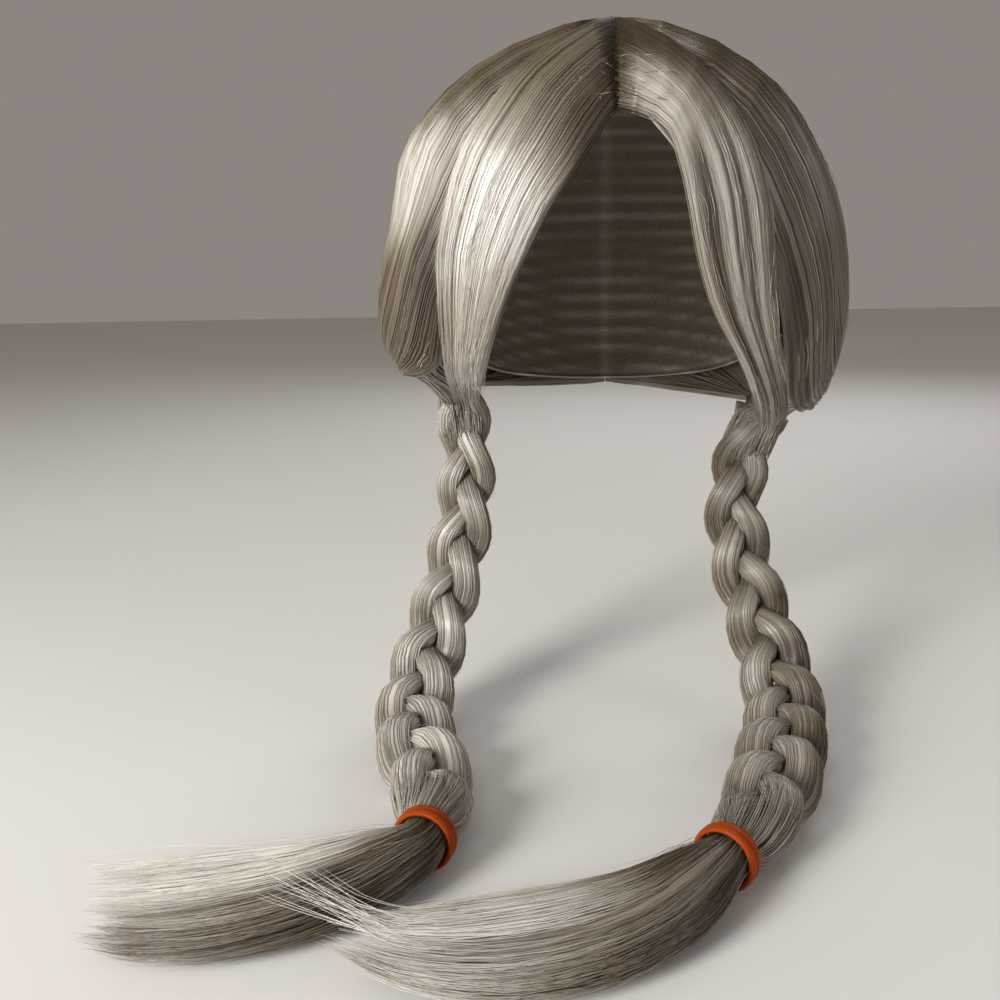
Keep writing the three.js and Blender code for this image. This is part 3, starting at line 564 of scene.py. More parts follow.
def stage():
    m, tree, shader = new_material("floor_paint")
    place = node(tree, "ShaderNodeTexCoord", (-900, 0))
    noise = node(tree, "ShaderNodeTexNoise", (-700, 0), Scale=3.0, Detail=2.0)
    ramp = node(tree, "ShaderNodeValToRGB", (-450, 0))
    ramp.color_ramp.elements[0].color = (0.66, 0.645, 0.625, 1)
    ramp.color_ramp.elements[1].color = (0.70, 0.685, 0.665, 1)
    tree.links.new(place.outputs["Object"], noise.inputs["Vector"])
    tree.links.new(noise.outputs["Fac"], ramp.inputs["Fac"])
    tree.links.new(ramp.outputs["Color"], shader.inputs["Base Color"])
    shader.inputs["Roughness"].default_value = 0.75
    me = bpy.data.meshes.new("floor")
    z = (FLOOR - 0.3) * MM
    me.from_pydata([(-4, -4, z), (4, -4, z), (4, 4, z), (-4, 4, z)], [], [(0, 1, 2, 3)])
    floor = bpy.data.objects.new("floor", me)
    me.materials.append(m)
    bpy.context.scene.collection.objects.link(floor)
    world = bpy.data.worlds.new("studio")
    world.use_nodes = True
    background = world.node_tree.nodes["Background"]
    background.inputs["Color"].default_value = (0.66, 0.585, 0.545, 1)
    background.inputs["Strength"].default_value = 0.40
    bpy.context.scene.world = world
    area_light("key", (-0.85, -1.0, 0.22), (0, -0.02, -0.12), (0.45, 0.6), 26.0, (1.0, 0.985, 0.96))
    area_light("top", (-0.5, -0.9, 1.2), (0, -0.05, -0.2), (0.9, 0.9), 3.0, (1.0, 0.98, 0.95))
    area_light("side", (1.1, -0.35, 0.35), (0, 0, -0.12), (0.5, 0.7), 2.5, (1.0, 0.97, 0.94))
    area_light("back", (0.3, 1.1, 0.6), (0, 0, -0.1), (0.8, 0.6), 5.0)
    bpy.context.scene.view_settings.view_transform = "Standard"


camera()
stage()


# ---------------------------------------------------------------- strands on a surface


def clumps(rng, count, width, low=0.0, high=1.0):
    """Middles, half widths, tones and heights of hair clumps across a surface."""
    middle = low + (high - low) * (np.arange(count) + 0.5 + rng.uniform(-0.42, 0.42, count)) / count
    return dict(
        u=middle,
        half=(high - low) / count * width * rng.uniform(0.6, 1.25, count),
        tone=rng.normal(0, 1, count),
        high=rng.uniform(-1, 1, count),
        phase=rng.uniform(0, 1, count),
    )


def lay(rng, surface, n, k, groups, r=0.3, depth=1.6, dome=0.7, pinch=0.35, tone=0.55, spread=0.14, strand_spread=0.1,
        span=None, wander=0.25, taper=(0.04, 0.12), tone_and_painted_light=None, lift=None, jitter_h=0.15, level=False):
    """n strands of k points over surface(u, v, h), gathered in clumps. u and v run 0..1; h is mm above the surface.

    span: (start, end) arrays for v. region(u, v, place) gives a tone to add. lift(u, v) gives mm to add. With level, the
    points of every strand lie at the same v, but for the first and the last ones, so that strands lie evenly side by side.
    """
    c = rng.integers(0, len(groups["u"]), n)
    offset = rng.uniform(-1, 1, n)
    t = np.linspace(0, 1, k)[None, :]
    start, end = (np.zeros(n), np.ones(n)) if span is None else span
    v = start[:, None] + (end - start)[:, None] * t
    if level:
        v = t + start[:, None] * (t == 0) + (end - 1)[:, None] * np.clip((t - 0.85) / 0.15, 0, 1)
    squeeze = 1 - pinch * v ** 1.5
    half = groups["half"][c][:, None]
    u = (groups["u"][c][:, None] + offset[:, None] * half * squeeze
         + half * wander * waves(rng, n, t, 0.3, 1.2))
    sunk = rng.uniform(0, 1, n) ** 1.6
    h = (dome * (1 - offset[:, None] ** 2) * (0.6 + 0.4 * v) - depth * sunk[:, None]
         + 0.35 * dome * groups["high"][c][:, None] + jitter_h * waves(rng, n, t, 0.5, 2.5))
    if lift is not None:
        h = h + lift(u, v)
    paths, outward = surface(u, v, h)
    radius = r * rng.uniform(0.72, 1.3, (n, 1)) * np.minimum(
        step(t, -taper[0], taper[0]) * 0.6 + 0.4, 1) * (1 - 0.75 * step(t, 1 - taper[1], 1.0))
    # each strand's tone is its clump's and its own, with painted shade on sunk strands and at the edges of clumps; the
    # tone function adds the hair's own tone and painted light and shade
    value = (tone + spread * groups["tone"][c][:, None] + strand_spread * rng.normal(0, 1, (n, 1))
             - 0.14 * sunk[:, None] - 0.06 * np.abs(offset[:, None]) ** 3 + 0.02 * waves(rng, n, t, 0.5, 2.0))
    if tone_and_painted_light is not None:
        value = value + tone_and_painted_light(u, v, paths)
    return tubes(paths, radius, hair_colour(value), outward)


def ridges(u, seed, count, sharp=1.0):
    """Fine grooves across a body: -1..0, deep where two locks meet. Irregular, fixed by seed."""
    rng = np.random.default_rng(seed)
    edges = np.sort((np.arange(count + 1) + rng.uniform(-0.38, 0.38, count + 1)) / count)
    edges[0], edges[-1] = -0.01, 1.01
    i = np.clip(np.searchsorted(edges, u) - 1, 0, count - 1)
    x = (u - edges[i]) / (edges[i + 1] - edges[i]) * 2 - 1
    return -(np.abs(np.clip(x, -1, 1)) ** (2.5 / sharp))


# ---------------------------------------------------------------- crown hair


def fringe_outline(side):
    t = np.linspace(0, len(FRINGE[side]) - 1, 30)
    v = smooth(np.array(FRINGE[side], float), t)
    return np.concatenate([v[:, 0:2], v[::-1, 2:4]])


def inside_outline(outline, az, up):
    """Distance in degrees inside a closed outline, negative outside."""
    x, y = np.asarray(az, float), np.asarray(up, float)
    inside = np.zeros(x.shape, bool)
    best = np.full(x.shape, 1e9)
    for (x0, y0), (x1, y1) in zip(outline, np.roll(outline, -1, 0)):
        dx, dy = x1 - x0, y1 - y0
        f = np.clip(((x - x0) * dx + (y - y0) * dy) / (dx * dx + dy * dy + 1e-9), 0, 1)
        best = np.minimum(best, (x - x0 - f * dx) ** 2 + (y - y0 - f * dy) ** 2)
        cross = (y0 > y) != (y1 > y)
        at = x0 + (y - y0) / (dy if abs(dy) > 1e-9 else 1e-9) * dx
        inside ^= cross & (x < at)
    return np.where(inside, 1, -1) * np.sqrt(best)


def crown_surface(side, cross=0.0):
    """u from the front hairline over the crown to the nape, v from the parting to the gather behind the ear.
    cross is how far, in mm, roots may lie over the parting."""
    rows = GUIDES[side]
    ctrl = []
    for row in rows:
        p = row[0]
        start = direction(side, 0.0 if p < 0 else 180.0, abs(p))
        ctrl.append([start] + [direction(side, az, up) for az, up in row[1:]])
    ctrl = np.array(ctrl)  # guides, controls, xyz
    last_u, last_v = len(rows) - 1, ctrl.shape[1] - 1
    outline = fringe_outline(side)
    root = np.array(PLAIT[side][0][:3], float)
    root_r = np.linalg.norm(root - CENTRE)

    def surface(u, v, h):
        u, v = np.broadcast_arrays(np.clip(u, 0, 1), np.clip(v, 0, 1))
        if side > 0:
            # the front edge stays behind the lock's own
            u = u + 0.026 * (1 - u) ** 8 * np.clip(1 - v / 0.3, 0, 1)
        # the controls of each point's own guide, then along it
        t = v * last_v
        i = np.clip(np.floor(t).astype(int), 0, last_v - 1)
        f = (np.clip(t - i, 0, 1))[..., None]
        g = np.stack([unit(smooth(ctrl[:, c], u * last_u)) for c in range(last_v + 1)], -2)
        e = np.concatenate([2 * g[..., :1, :] - g[..., 1:2, :], g, 2 * g[..., -1:, :] - g[..., -2:-1, :]], -2)
        pick = lambda q: np.take_along_axis(e, (i + q)[..., None, None], -2)[..., 0, :]
        a, b, c, d = pick(0), pick(1), pick(2), pick(3)
        way = unit(b + 0.5 * f * (c - a + f * (2 * a - 5 * b + 4 * c - d + f * (3 * (b - c) + d - a))))
        # the two halves stay on their own side of the parting, but for a few roots
        way = way.copy()
        over = 0.0022 - cross / 96.0 * np.clip(1 - v / 0.06, 0, 1)
        way[..., 0] = side * np.maximum(side * way[..., 0] + (over - 0.0022), over)
        way = unit(way)
        az, up = angles(side, way)
        r = reach("hair", side, az, up) - fold_depth(side, az, up)
        # under the front lock it lies lower, but the two run together near the parting
        under = step(inside_outline(outline, az, up) - 3.0 * step(-up, -78, -60), -1.0, 2.5)
        r = r - under * 7.5
        # a shallow valley along the parting
        r = r - 1.0 * np.exp(-np.abs(way[..., 0]) * r / 2.2)
        low = reach("head", side, az, up) + 2.7
        gather = step(v, 0.86, 1.0)
        r = np.maximum(r, low) * (1 - gather) + np.minimum(r, root_r + 1.5) * gather
        r = np.maximum(r + h, low - 0.2 + 0.12 * np.clip(h + 3.4, 0, 4))
        return CENTRE + way * r[..., None], way

    return surface


def painted_light_and_shade(side, place):
    """What the photo shows over all of the hair: lighter and darker places, by az and up, put in as painted light and
    shade. There is a painted highlight on the side lock and in thin streaks, and painted shade over the top, in the
    gaps between locks and towards the back. It is also darker along the parting.
    """
    az, up = angles(side, unit(place - CENTRE))
    if side < 0:
        # painted light on the side lock, and painted shade in the gap before it, below it and over the top
        tone = 0.36 * bump(az, 52, 13) * step(up, 54, 64) * step(-up, -86, -74)
        tone = tone - 0.52 * bump(az, 43.5 + (72 - up) * 0.06, 5.6) * step(up, 64, 78)
        tone = tone - 0.30 * step(az, 40, 52) * step(up, 74, 86)
        tone = tone - 0.38 * step(-up, -62, -46)
    else:
        # painted shade over this side below the front and behind, and in a gap line
        tone = -0.34 * step(az, 14, 26) * step(-up, -84, -60) - 0.22 * step(az, 34, 42) * step(up, 60, 80)
        tone = tone - 0.12 * bump(az, 41, 5) * step(up, 50, 66)
        # thin painted highlight streaks
        for at, width, gain in ((39, 1.6, 0.55), (33.5, 1.0, 0.36), (47, 1.2, 0.30), (53, 1.0, 0.22), (28, 0.8, 0.22)):
            line = at - (up - 40) * 0.2 + 0.1 * np.maximum(0, up - 60)
            tone = tone + gain * bump(az, line, width) * step(up, 50, 68) * step(-up, -78, -60)
        # painted shade over the top
        tone = tone - 0.24 * step(-up, -50, -40) - 0.10 * step(-up, -34, -20)
    # the painted light and shade fade towards the back, which is a little darker; darker along the parting
    near = np.abs(place[..., 0])
    behind = step(az, 78, 112)
    return tone * (1 - 0.75 * behind) - 0.05 * behind - 0.16 * np.exp(-near / 1.6)


def crown(side):
    name = "r" if side < 0 else "l"
    rng = np.random.default_rng(11 if side < 0 else 12)
    surface = crown_surface(side)
    # the body under the strands
    k = 23
    a, b = 170, k
    u = np.linspace(0, 1, a)[:, None]
    v = np.minimum(np.linspace(0, 1, b), 0.985)[None, :]
    u, v = np.broadcast_arrays(u, v)
    groove = ridges(u, 31 + side, 26) * 0.45
    hem = np.maximum(bump(u, 1.0, 0.02), 0) * 1.2
    outer, _ = surface(u, v, -0.45 + groove * (0.3 + 0.7 * v) - hem)
    inner, _ = surface(u, v, -3.4 + 0 * u)
    # the body's colour: painted shade in the grooves and the painted light and shade over all of the hair; its inner
    # side is painted dark, as shade
    shade = 0.47 + 0.10 * groove + painted_light_and_shade(side, outer)
    parts = [dict(sheet_body(outer, inner, hair_colour(shade), hair_colour(0 * shade + 0.28), (310, 250)), body=True)]

    def tone_and_painted_light(u, v, place):
        # painted light and shade, a little darker towards the gather
        return painted_light_and_shade(side, place) - 0.08 * step(v, 0.86, 1.0)

    def follow(cross):
        # strands lie in the same shallow valleys as the body
        under = crown_surface(side, cross=cross)
        return lambda u, v, h: under(u, v, h + ridges(u, 31 + side, 26) * 0.45 * (0.3 + 0.7 * v))

    crossing = follow(1.0)
    streaks = 0.045 if side < 0 else 0.085
    n = 560
    groups = clumps(rng, 150, 1.1)
    late = lambda n: (rng.uniform(0, 0.03, n), np.ones(n))
    parts.append(lay(rng, crossing, n, k, groups, r=0.18, depth=0.25, dome=0.12, pinch=0.2, tone=0.50, spread=streaks,
                     strand_spread=0.055, tone_and_painted_light=tone_and_painted_light, span=late(n), jitter_h=0.03, wander=0.35, level=True))
    n = 330
    fine = clumps(rng, 420, 1.0)
    parts.append(lay(rng, crossing, n, k, fine, r=0.11, depth=0.0, dome=0.1, pinch=0.1, tone=0.54, wander=0.9,
                     spread=0.04, strand_spread=0.08, tone_and_painted_light=tone_and_painted_light, jitter_h=0.05, span=late(n), level=True,
                     lift=lambda u, v: 0.12 + 0 * u))
    # short loose hairs that stand off the surface
    n = 80
    start = rng.uniform(0.06, 0.85, n)
    parts.append(lay(rng, surface, n, 9, fine, r=0.07, depth=0.0, dome=0.6, pinch=0.0, tone=0.64, wander=5.0, spread=0.0,
                     span=(start, np.minimum(1, start + rng.uniform(0.08, 0.25, n))), jitter_h=0.8, tone_and_painted_light=tone_and_painted_light))
    parts.append(nape(rng, surface))
    parts.append(sweep(rng, side, surface))
    parts.append(gathered(rng, side, surface))
    parts.append(across_gap(rng, side, surface))
    merged = join([dict(p, weight=w) for p, w in zip(parts, (1.0, 2.0, 0.9, 0.2, 0.3, 0.3, 0.25, 0.2))])
    place_piece("crown_hair_" + name, merged, [HAIR, HAIR_BODY], "hair", "crown_hair_" + name)


def along_rows(rows, t):
    """Smooth paths through rows of control points (N, n, 3), t (N, K) counted in controls."""
    n = rows.shape[1] - 1
    i = np.clip(np.floor(t).astype(int), 0, n - 1)
    f = np.clip(t - i, 0, 1)[..., None]
    e = np.concatenate([2 * rows[:, :1] - rows[:, 1:2], rows, 2 * rows[:, -1:] - rows[:, -2:-1]], 1)
    a, b, c, d = (np.take_along_axis(e, (i + q)[..., None], 1) for q in range(4))
    return b + 0.5 * f * (c - a + f * (2 * a - 5 * b + 4 * c - d + f * (3 * (b - c) + d - a)))


def sweep(rng, side, surface):
    """Loose hair that leaves the lower edge beside the face and runs back and down into the head of the plait."""
    n, k = 130, 15
    line = PlaitLine(side)
    low = rng.uniform(0, 1, n) ** 1.3
    u = (0.02 + 0.16 * low)[:, None]
    v0 = rng.uniform(0.20, 0.55, n) if side < 0 else rng.uniform(0.15, 0.42, n)
    rank = np.clip(low + 0.12 * rng.normal(0, 1, n), -0.15, 1.15)
    turn = rank * math.pi if side > 0 else (1 - rank) * math.pi
    points = []
    for extra, drop, deep in ((0.0, 0.0, 0.0), (0.14, 0.8, 0.5), (0.27, 1.8, 1.8)):
        p, way = surface(u, np.minimum(1, v0 + extra)[:, None], (-1.2 - deep - rng.uniform(0, 1.4, n))[:, None])
        p = p[:, 0].copy()
        p[:, 2] -= drop * (1 - low) * (1 if side < 0 else 0)
        points.append(p)
    for s, size in ((3.0, 10.0), (14.0, 11.5), (27.0, 10.5)):
        place, along, face, across, scale = line.at(np.full(n, s))
        wide = size * scale * rng.uniform(0.9, 1.05, n)
        points.append(place + across * (wide * np.cos(turn))[:, None] + face * (0.72 * wide * np.sin(turn))[:, None])
    rows = np.stack(points, 1)
    t = np.linspace(0, 1, k)[None, :] * rng.uniform(4.3, 5.0, n)[:, None]
    path = along_rows(rows, t) + 0.25 * np.stack([waves(rng, n, t / 5, 0.5, 2.0) for _ in range(3)], -1)
    radius = 0.20 * rng.uniform(0.7, 1.3, (n, 1)) * (1 - 0.6 * step(t, 4.0, 5.0)) * step(t, -0.5, 0.8)
    value = 0.46 + 0.09 * rng.normal(0, 1, (n, 1)) + 0.10 * step(t, 2, 4)
    return tubes(path, radius, hair_colour(value), unit(path - CENTRE))


def across_gap(rng, side, surface):
    """Hair from under the lower edge beside the face straight to the front of the plait's head."""
    n, k = 90, 11
    line = PlaitLine(side)
    rank = rng.uniform(0, 1, n)
    u = (0.0 + 0.07 * rng.uniform(0, 1, n))[:, None]
    v0 = (0.34 + 0.20 * rank)[:, None]
    deep = rng.uniform(1.4, 2.8, n)[:, None]
    points = [surface(u, v0, -deep)[0][:, 0], surface(u, v0 + 0.07, -deep - 0.8)[0][:, 0]]
    turn = (0.22 + 0.62 * np.clip(1 - rank + 0.1 * rng.normal(0, 1, n), 0, 1)) * math.pi
    turn = turn if side < 0 else math.pi - turn
    head = []
    for s, size in ((5.0, 10.5), (15.0, 11.5), (27.0, 10.5)):
        place, along, face, across, scale = line.at(np.full(n, s))
        wide = size * scale * rng.uniform(0.9, 1.05, n)
        head.append(place + across * (wide * np.cos(turn))[:, None] + face * (0.72 * wide * np.sin(turn))[:, None])
    middle = 0.55 * points[1] + 0.45 * head[0]
    middle[:, 2] += 1.5
    rows = np.stack(points + [middle] + head, 1)
    t = np.linspace(0, 1, k)[None, :] * rng.uniform(4.3, 5.0, n)[:, None]
    path = along_rows(rows, t)
    radius = 0.22 * rng.uniform(0.7, 1.3, (n, 1)) * (1 - 0.6 * step(t, 4.0, 5.0)) * step(t, -0.5, 0.8)
    value = 0.44 + 0.09 * rng.normal(0, 1, (n, 1)) + 0 * t
    return tubes(path, radius, hair_colour(value), unit(path - CENTRE))


def gathered(rng, side, surface):
    """Hair of one whole side running together over the top of the plait and a little way down it."""
    n, k = 170, 11
    line = PlaitLine(side)
    u = rng.uniform(0, 1, n)[:, None]
    first = rng.uniform(0.80, 0.88, n)[:, None]
    points = [surface(u, first, np.full((n, 1), -0.5))[0][:, 0], surface(u, first + 0.08, np.full((n, 1), -0.2))[0][:, 0]]
    place, along, face, across, scale = line.at(np.zeros(n))
    off = points[1] - place
    turn = np.arctan2(np.sum(off * face, -1), np.sum(off * across, -1)) + rng.normal(0, 0.5, n)
    for s, size in ((1.0, 13.0), (9.0, 14.0), (20.0, 13.6)):
        place, along, face, across, scale = line.at(s + rng.uniform(0, 5, n))
        wide = size * scale * rng.uniform(0.92, 1.04, n)
        points.append(place + across * (wide * np.cos(turn))[:, None] + face * (0.70 * wide * np.sin(turn))[:, None])
    t = np.linspace(0, 1, k)[None, :] * rng.uniform(3.3, 4.0, n)[:, None]
    path = along_rows(np.stack(points, 1), t)
    radius = 0.21 * rng.uniform(0.7, 1.3, (n, 1)) * step(t, -0.4, 0.6) * (1 - 0.5 * step(t, 3.2, 4.0))
    value = 0.42 + 0.07 * rng.normal(0, 1, (n, 1)) + 0 * t
    return tubes(path, radius, hair_colour(value), unit(path - line.at(t / 4 * 20)[0] + 1e-6))


def nape(rng, surface):
    """The lowest hair of the back: strands along the lower edge, thick enough to hide the edge of the body."""
    n = 110
    c = dict(u=rng.uniform(0.955, 1.0, 60), half=np.full(60, 0.006), tone=rng.normal(0, 1, 60),
             high=rng.uniform(-1, 1, 60), phase=rng.uniform(0, 1, 60))
    return lay(rng, surface, n, 15, c, r=0.30, depth=4.2, dome=0.2, pinch=0.0, tone=0.40, wander=2.0, spread=0.06,
               strand_spread=0.06, jitter_h=0.5)


# ---------------------------------------------------------------- front locks


def fringe_surface(side, cross=0.0):
    rows = np.array(FRINGE[side], float)
    last = len(rows) - 1

    def surface(u, v, h):
        u, v = np.broadcast_arrays(u, v)
        t = v * last
        value = smooth(rows, np.clip(t, 0, last))
        beyond = np.maximum(0, t - last)[..., None] * (rows[-1] - rows[-2])
        value = value + beyond
        az = value[..., 0] + (value[..., 2] - value[..., 0]) * u
        up = value[..., 1] + (value[..., 3] - value[..., 1]) * u
        edge = np.sqrt(np.maximum(0, 1 - np.abs(2 * np.clip(u, 0, 1) - 1) ** 4))
        split = 1.2 * np.exp(-(((u - 0.6) / 0.1) ** 2)) * np.minimum(1, t / 3)
        r = reach("hair", side, az, up) + 0.6 + 0.8 * step(-t, -4.0, -2.8) - split - (1 - edge) * 1.6
        way = direction(side, az, up)
        over = 0.0022 - cross / 96.0 * np.clip(1 - v / 0.05, 0, 1)
        way[..., 0] = side * np.maximum(side * way[..., 0] + (over - 0.0022), over)
        way = unit(way)
        r = r - 1.0 * np.exp(-np.abs(way[..., 0]) * r / 2.2)
        return CENTRE + way * (r + h)[..., None], way

    def thickness(u, v):
        value = smooth(rows[:, 4], np.clip(v, 0, 1) * last)
        edge = np.sqrt(np.maximum(0, 1 - np.abs(2 * np.clip(u, 0, 1) - 1) ** 4))
        return value * (0.45 + 0.55 * edge)

    return surface, thickness


def front_lock(side):
    name = "r" if side < 0 else "l"
    rng = np.random.default_rng(21 if side < 0 else 22)
    surface, thickness = fringe_surface(side)
    crossing, _ = fringe_surface(side, cross=1.0)
    k = 19
    a, b = 96, k
    u, v = np.broadcast_arrays(np.linspace(0.01, 0.99, a)[:, None], np.minimum(np.linspace(0, 1, b), 0.965)[None, :])
    groove = ridges(u, 51 + side, 12) * 0.4
    end = step(v, 0.86, 0.965)
    thick = thickness(u, v)
    outer, _ = surface(u, v, -0.4 + groove * (0.2 + 0.8 * v) - 0.8 * end)
    inner, _ = surface(u, v, -np.maximum(2.0, thick - 0.4) + groove * -0.3)

    def tone_and_painted_light(u, v, place):
        az, up = angles(side, unit(place - CENTRE))
        # painted shade near the root of the lock, over the top of the head, less on the left
        tone = (0.16 if side < 0 else 0.06) - 0.50 * step(-v, -0.42, -0.16) * (1 if side < 0 else 0.3)
        # darker and browner along the parting
        tone = tone - (0.32 if side < 0 else 0.40) * step(-np.abs(az), -6.0, -1.0)
        if side < 0:
            # painted light and shade: a painted highlight over the front and at the blunt end, and painted shade in
            # brown along the face, behind and in thin lines between locks
            tone = tone + 0.10 * bump(v, 0.42, 0.16) - 0.36 * bump(u, -0.04, 0.17) * step(v, 0.05, 0.2) * step(-v, -0.86, -0.6)
            tone = tone - 0.16 * bump(u, 0.72, 0.022) * step(v, 0.25, 0.4) - 0.12 * bump(u, 0.5, 0.02) * step(v, 0.3, 0.5)
            tone = tone - 0.28 * step(v, 0.45, 0.62) * step(u, 0.5, 0.95) + 0.30 * step(v, 0.82, 0.95)
            tone = tone - 0.10 * step(v, 0.6, 0.8) * step(-v, -0.95, -0.82)
        else:
            # painted light at the root, painted shade in brown along the face lower down, and light and dark streaks
            # behind, painted light on the locks and painted shade between them; painted shade behind near the root,
            # lighter at the blunt end
            low = step(v, 0.20, 0.34)
            tone = tone + 0.26 * bump(u, 0.1, 0.25) * (1 - low) - 0.66 * bump(u, 0.15, 0.085) * low * step(-v, -0.98, -0.86)
            tone = tone + 0.05 * bump(u, 0.0, 0.05) * low
            tone = tone + 0.28 * bump(u, 0.33, 0.065) * low - 0.38 * bump(u, 0.43, 0.022) * low
            tone = tone + 0.22 * bump(u, 0.51, 0.045) * low - 0.46 * bump(u, 0.61, 0.035) * low - 0.16 * step(u, 0.5, 0.9)
            tone = tone + 0.24 * bump(u, 0.73, 0.04) * low - 0.20 * bump(u, 0.90, 0.06) * low
            tone = tone - 0.30 * step(u, 0.35, 0.7) * (1 - low) + 0.12 * step(v, 0.85, 0.97)
            # painted shade over the top; darker along the parting
            tone = tone - 0.42 * step(-up, -52, -42) - 0.22 * step(-az, -8.0, -3.0)
        return tone

    def groove_at(u, v):
        return ridges(u, 51 + side, 12) * 0.4 * (0.2 + 0.8 * v)

    # the body's colour: painted shade in the grooves and the lock's painted light and shade; its underside is painted
    # near black, as shade
    shade = 0.50 + 0.10 * groove + tone_and_painted_light(u, v, outer)
    parts = [dict(sheet_body(outer, inner, hair_colour(shade), hair_colour(0.10 + 0.1 * groove), (52, 190)), body=True)]
    over = lambda u, v, h: crossing(u, v, h + groove_at(np.clip(u, 0, 1), np.clip(v, 0, 1)))

    ends = lambda n, lo, hi: (rng.uniform(0, 0.025, n), rng.uniform(lo, hi, n))
    groups = clumps(rng, 60, 1.1)
    n = 300
    parts.append(lay(rng, over, n, k, groups, r=0.17, depth=0.25, dome=0.12, pinch=0.25, tone=0.54,
                     spread=0.05 if side < 0 else 0.14, strand_spread=0.06 if side < 0 else 0.09, tone_and_painted_light=tone_and_painted_light,
                     span=ends(n, 0.93, 1.02),
                     taper=(0.04, 0.2), jitter_h=0.03, wander=0.35, level=True))
    # hair of the underside, which shows at the edges and from below, painted dark as shade
    n = 60
    under = clumps(rng, 40, 0.8)
    parts.append(lay(rng, lambda u, v, h: surface(u, v, h - np.maximum(2.2, thickness(u, v))), n, 14, under, r=0.30,
                     depth=0.6, dome=0.0, pinch=0.2, tone=0.22, spread=0.05, strand_spread=0.05, span=ends(n, 0.9, 1.0)))
    # and hair over the edge along the face
    n = 60
    edge = dict(under, u=rng.uniform(-0.012, 0.03, 40), half=np.full(40, 0.012))
    parts.append(lay(rng, over, n, k, edge, r=0.20, depth=3.2, dome=0.0, pinch=0.0, tone=0.40 if side < 0 else 0.50,
                     spread=0.10, strand_spread=0.08, span=ends(n, 0.9, 1.0),
                     tone_and_painted_light=lambda u, v, place: (1.0 if side < 0 else 0.6) * tone_and_painted_light(u, v, place),
                     jitter_h=0.1, level=True))
    # finer hair on top, some of it crossing
    n = 170
    fine = clumps(rng, 150, 1.0)
    parts.append(lay(rng, over, n, k, fine, r=0.10, depth=0.0, dome=0.1, pinch=0.1, tone=0.58, wander=1.2,
                     spread=0.04, strand_spread=0.08, tone_and_painted_light=tone_and_painted_light, span=ends(n, 0.9, 1.03), jitter_h=0.05,
                     taper=(0.04, 0.3), level=True, lift=lambda u, v: 0.12 + 0 * u))
    n = 70
    start = rng.uniform(0.25, 0.85, n)
    parts.append(lay(rng, surface, n, 11, fine, r=0.07, depth=0.0, dome=0.7, pinch=0.0, tone=0.62, wander=4.5, spread=0.0,
                     span=(start, np.minimum(1.05, start + rng.uniform(0.16, 0.34, n))), jitter_h=0.9))
    parts.append(hairline(rng, side))
    merged = join([dict(p, weight=w) for p, w in zip(parts, (1.0, 2.4, 0.4, 0.5, 0.7, 0.2, 0.3))])
    place_piece("front_lock_" + name, merged, [HAIR, HAIR_BODY], "hair", "front_lock_" + name)


def hairline(rng, side):
    """Short curly hairs round the front end of the parting."""
    n, k = (40 if side < 0 else 130), 9
    t = np.linspace(0, 1, k)[None, :]
    az0 = rng.uniform(0, 9, n)[:, None] * (1 if side < 0 else 1.2)
    up0 = rng.uniform(46, 57, n)[:, None]
    turn = rng.uniform(-0.6, 1.0, n)[:, None]
    size = rng.uniform(3, 9, n)[:, None]
    curl = rng.uniform(-2.0, 2.0, n)[:, None]
    heading = turn + curl * t
    az = az0 + np.cumsum(np.cos(heading) * size / k, 1) * 0.9
    up = up0 + np.cumsum(np.sin(heading) * size / k, 1) * 0.5
    up = np.minimum(up, 60.5 + 0.6 * az)
    h = 0.6 + rng.uniform(-1.5, 1.2, n)[:, None] + 1.6 * np.sin(t * 3) * rng.uniform(-0.3, 1, n)[:, None]
    way = direction(side, az, up)
    r = reach("hair", side, np.abs(az), up) - 0.5 + h
    p = CENTRE + way * r[..., None]
    radius = 0.11 * rng.uniform(0.7, 1.3, (n, 1)) * (1 - 0.7 * t)
    value = (0.32 if side < 0 else 0.46) + 0.16 * rng.normal(0, 1, (n, 1)) + 0 * t
    return tubes(p, radius, hair_colour(value), way)


# ---------------------------------------------------------------- plaits


def centripetal(points, count=1600):
    """The smooth curve through points that three.js calls centripetal Catmull-Rom, as dense points and their step numbers."""
    p = np.asarray(points, float)
    p = np.concatenate([[2 * p[0] - p[1]], p, [2 * p[-1] - p[-2]]])
    n = len(p) - 3
    t = np.linspace(0, n, count)
    i = np.clip(np.floor(t).astype(int), 0, n - 1)
    w = (t - i)[:, None]
    p0, p1, p2, p3 = p[i], p[i + 1], p[i + 2], p[i + 3]
    d = lambda a, b: np.maximum(np.sum((a - b) ** 2, -1, keepdims=True) ** 0.25, 1e-4)
    d0, d1, d2 = d(p0, p1), d(p1, p2), d(p2, p3)
    t1 = ((p1 - p0) / d0 - (p2 - p0) / (d0 + d1) + (p2 - p1) / d1) * d1
    t2 = ((p2 - p1) / d1 - (p3 - p1) / (d1 + d2) + (p3 - p2) / d2) * d1
    out = (p1 + t1 * w + (-3 * p1 + 3 * p2 - 2 * t1 - t2) * w ** 2 + (2 * p1 - 2 * p2 + t1 + t2) * w ** 3)
    return out, t


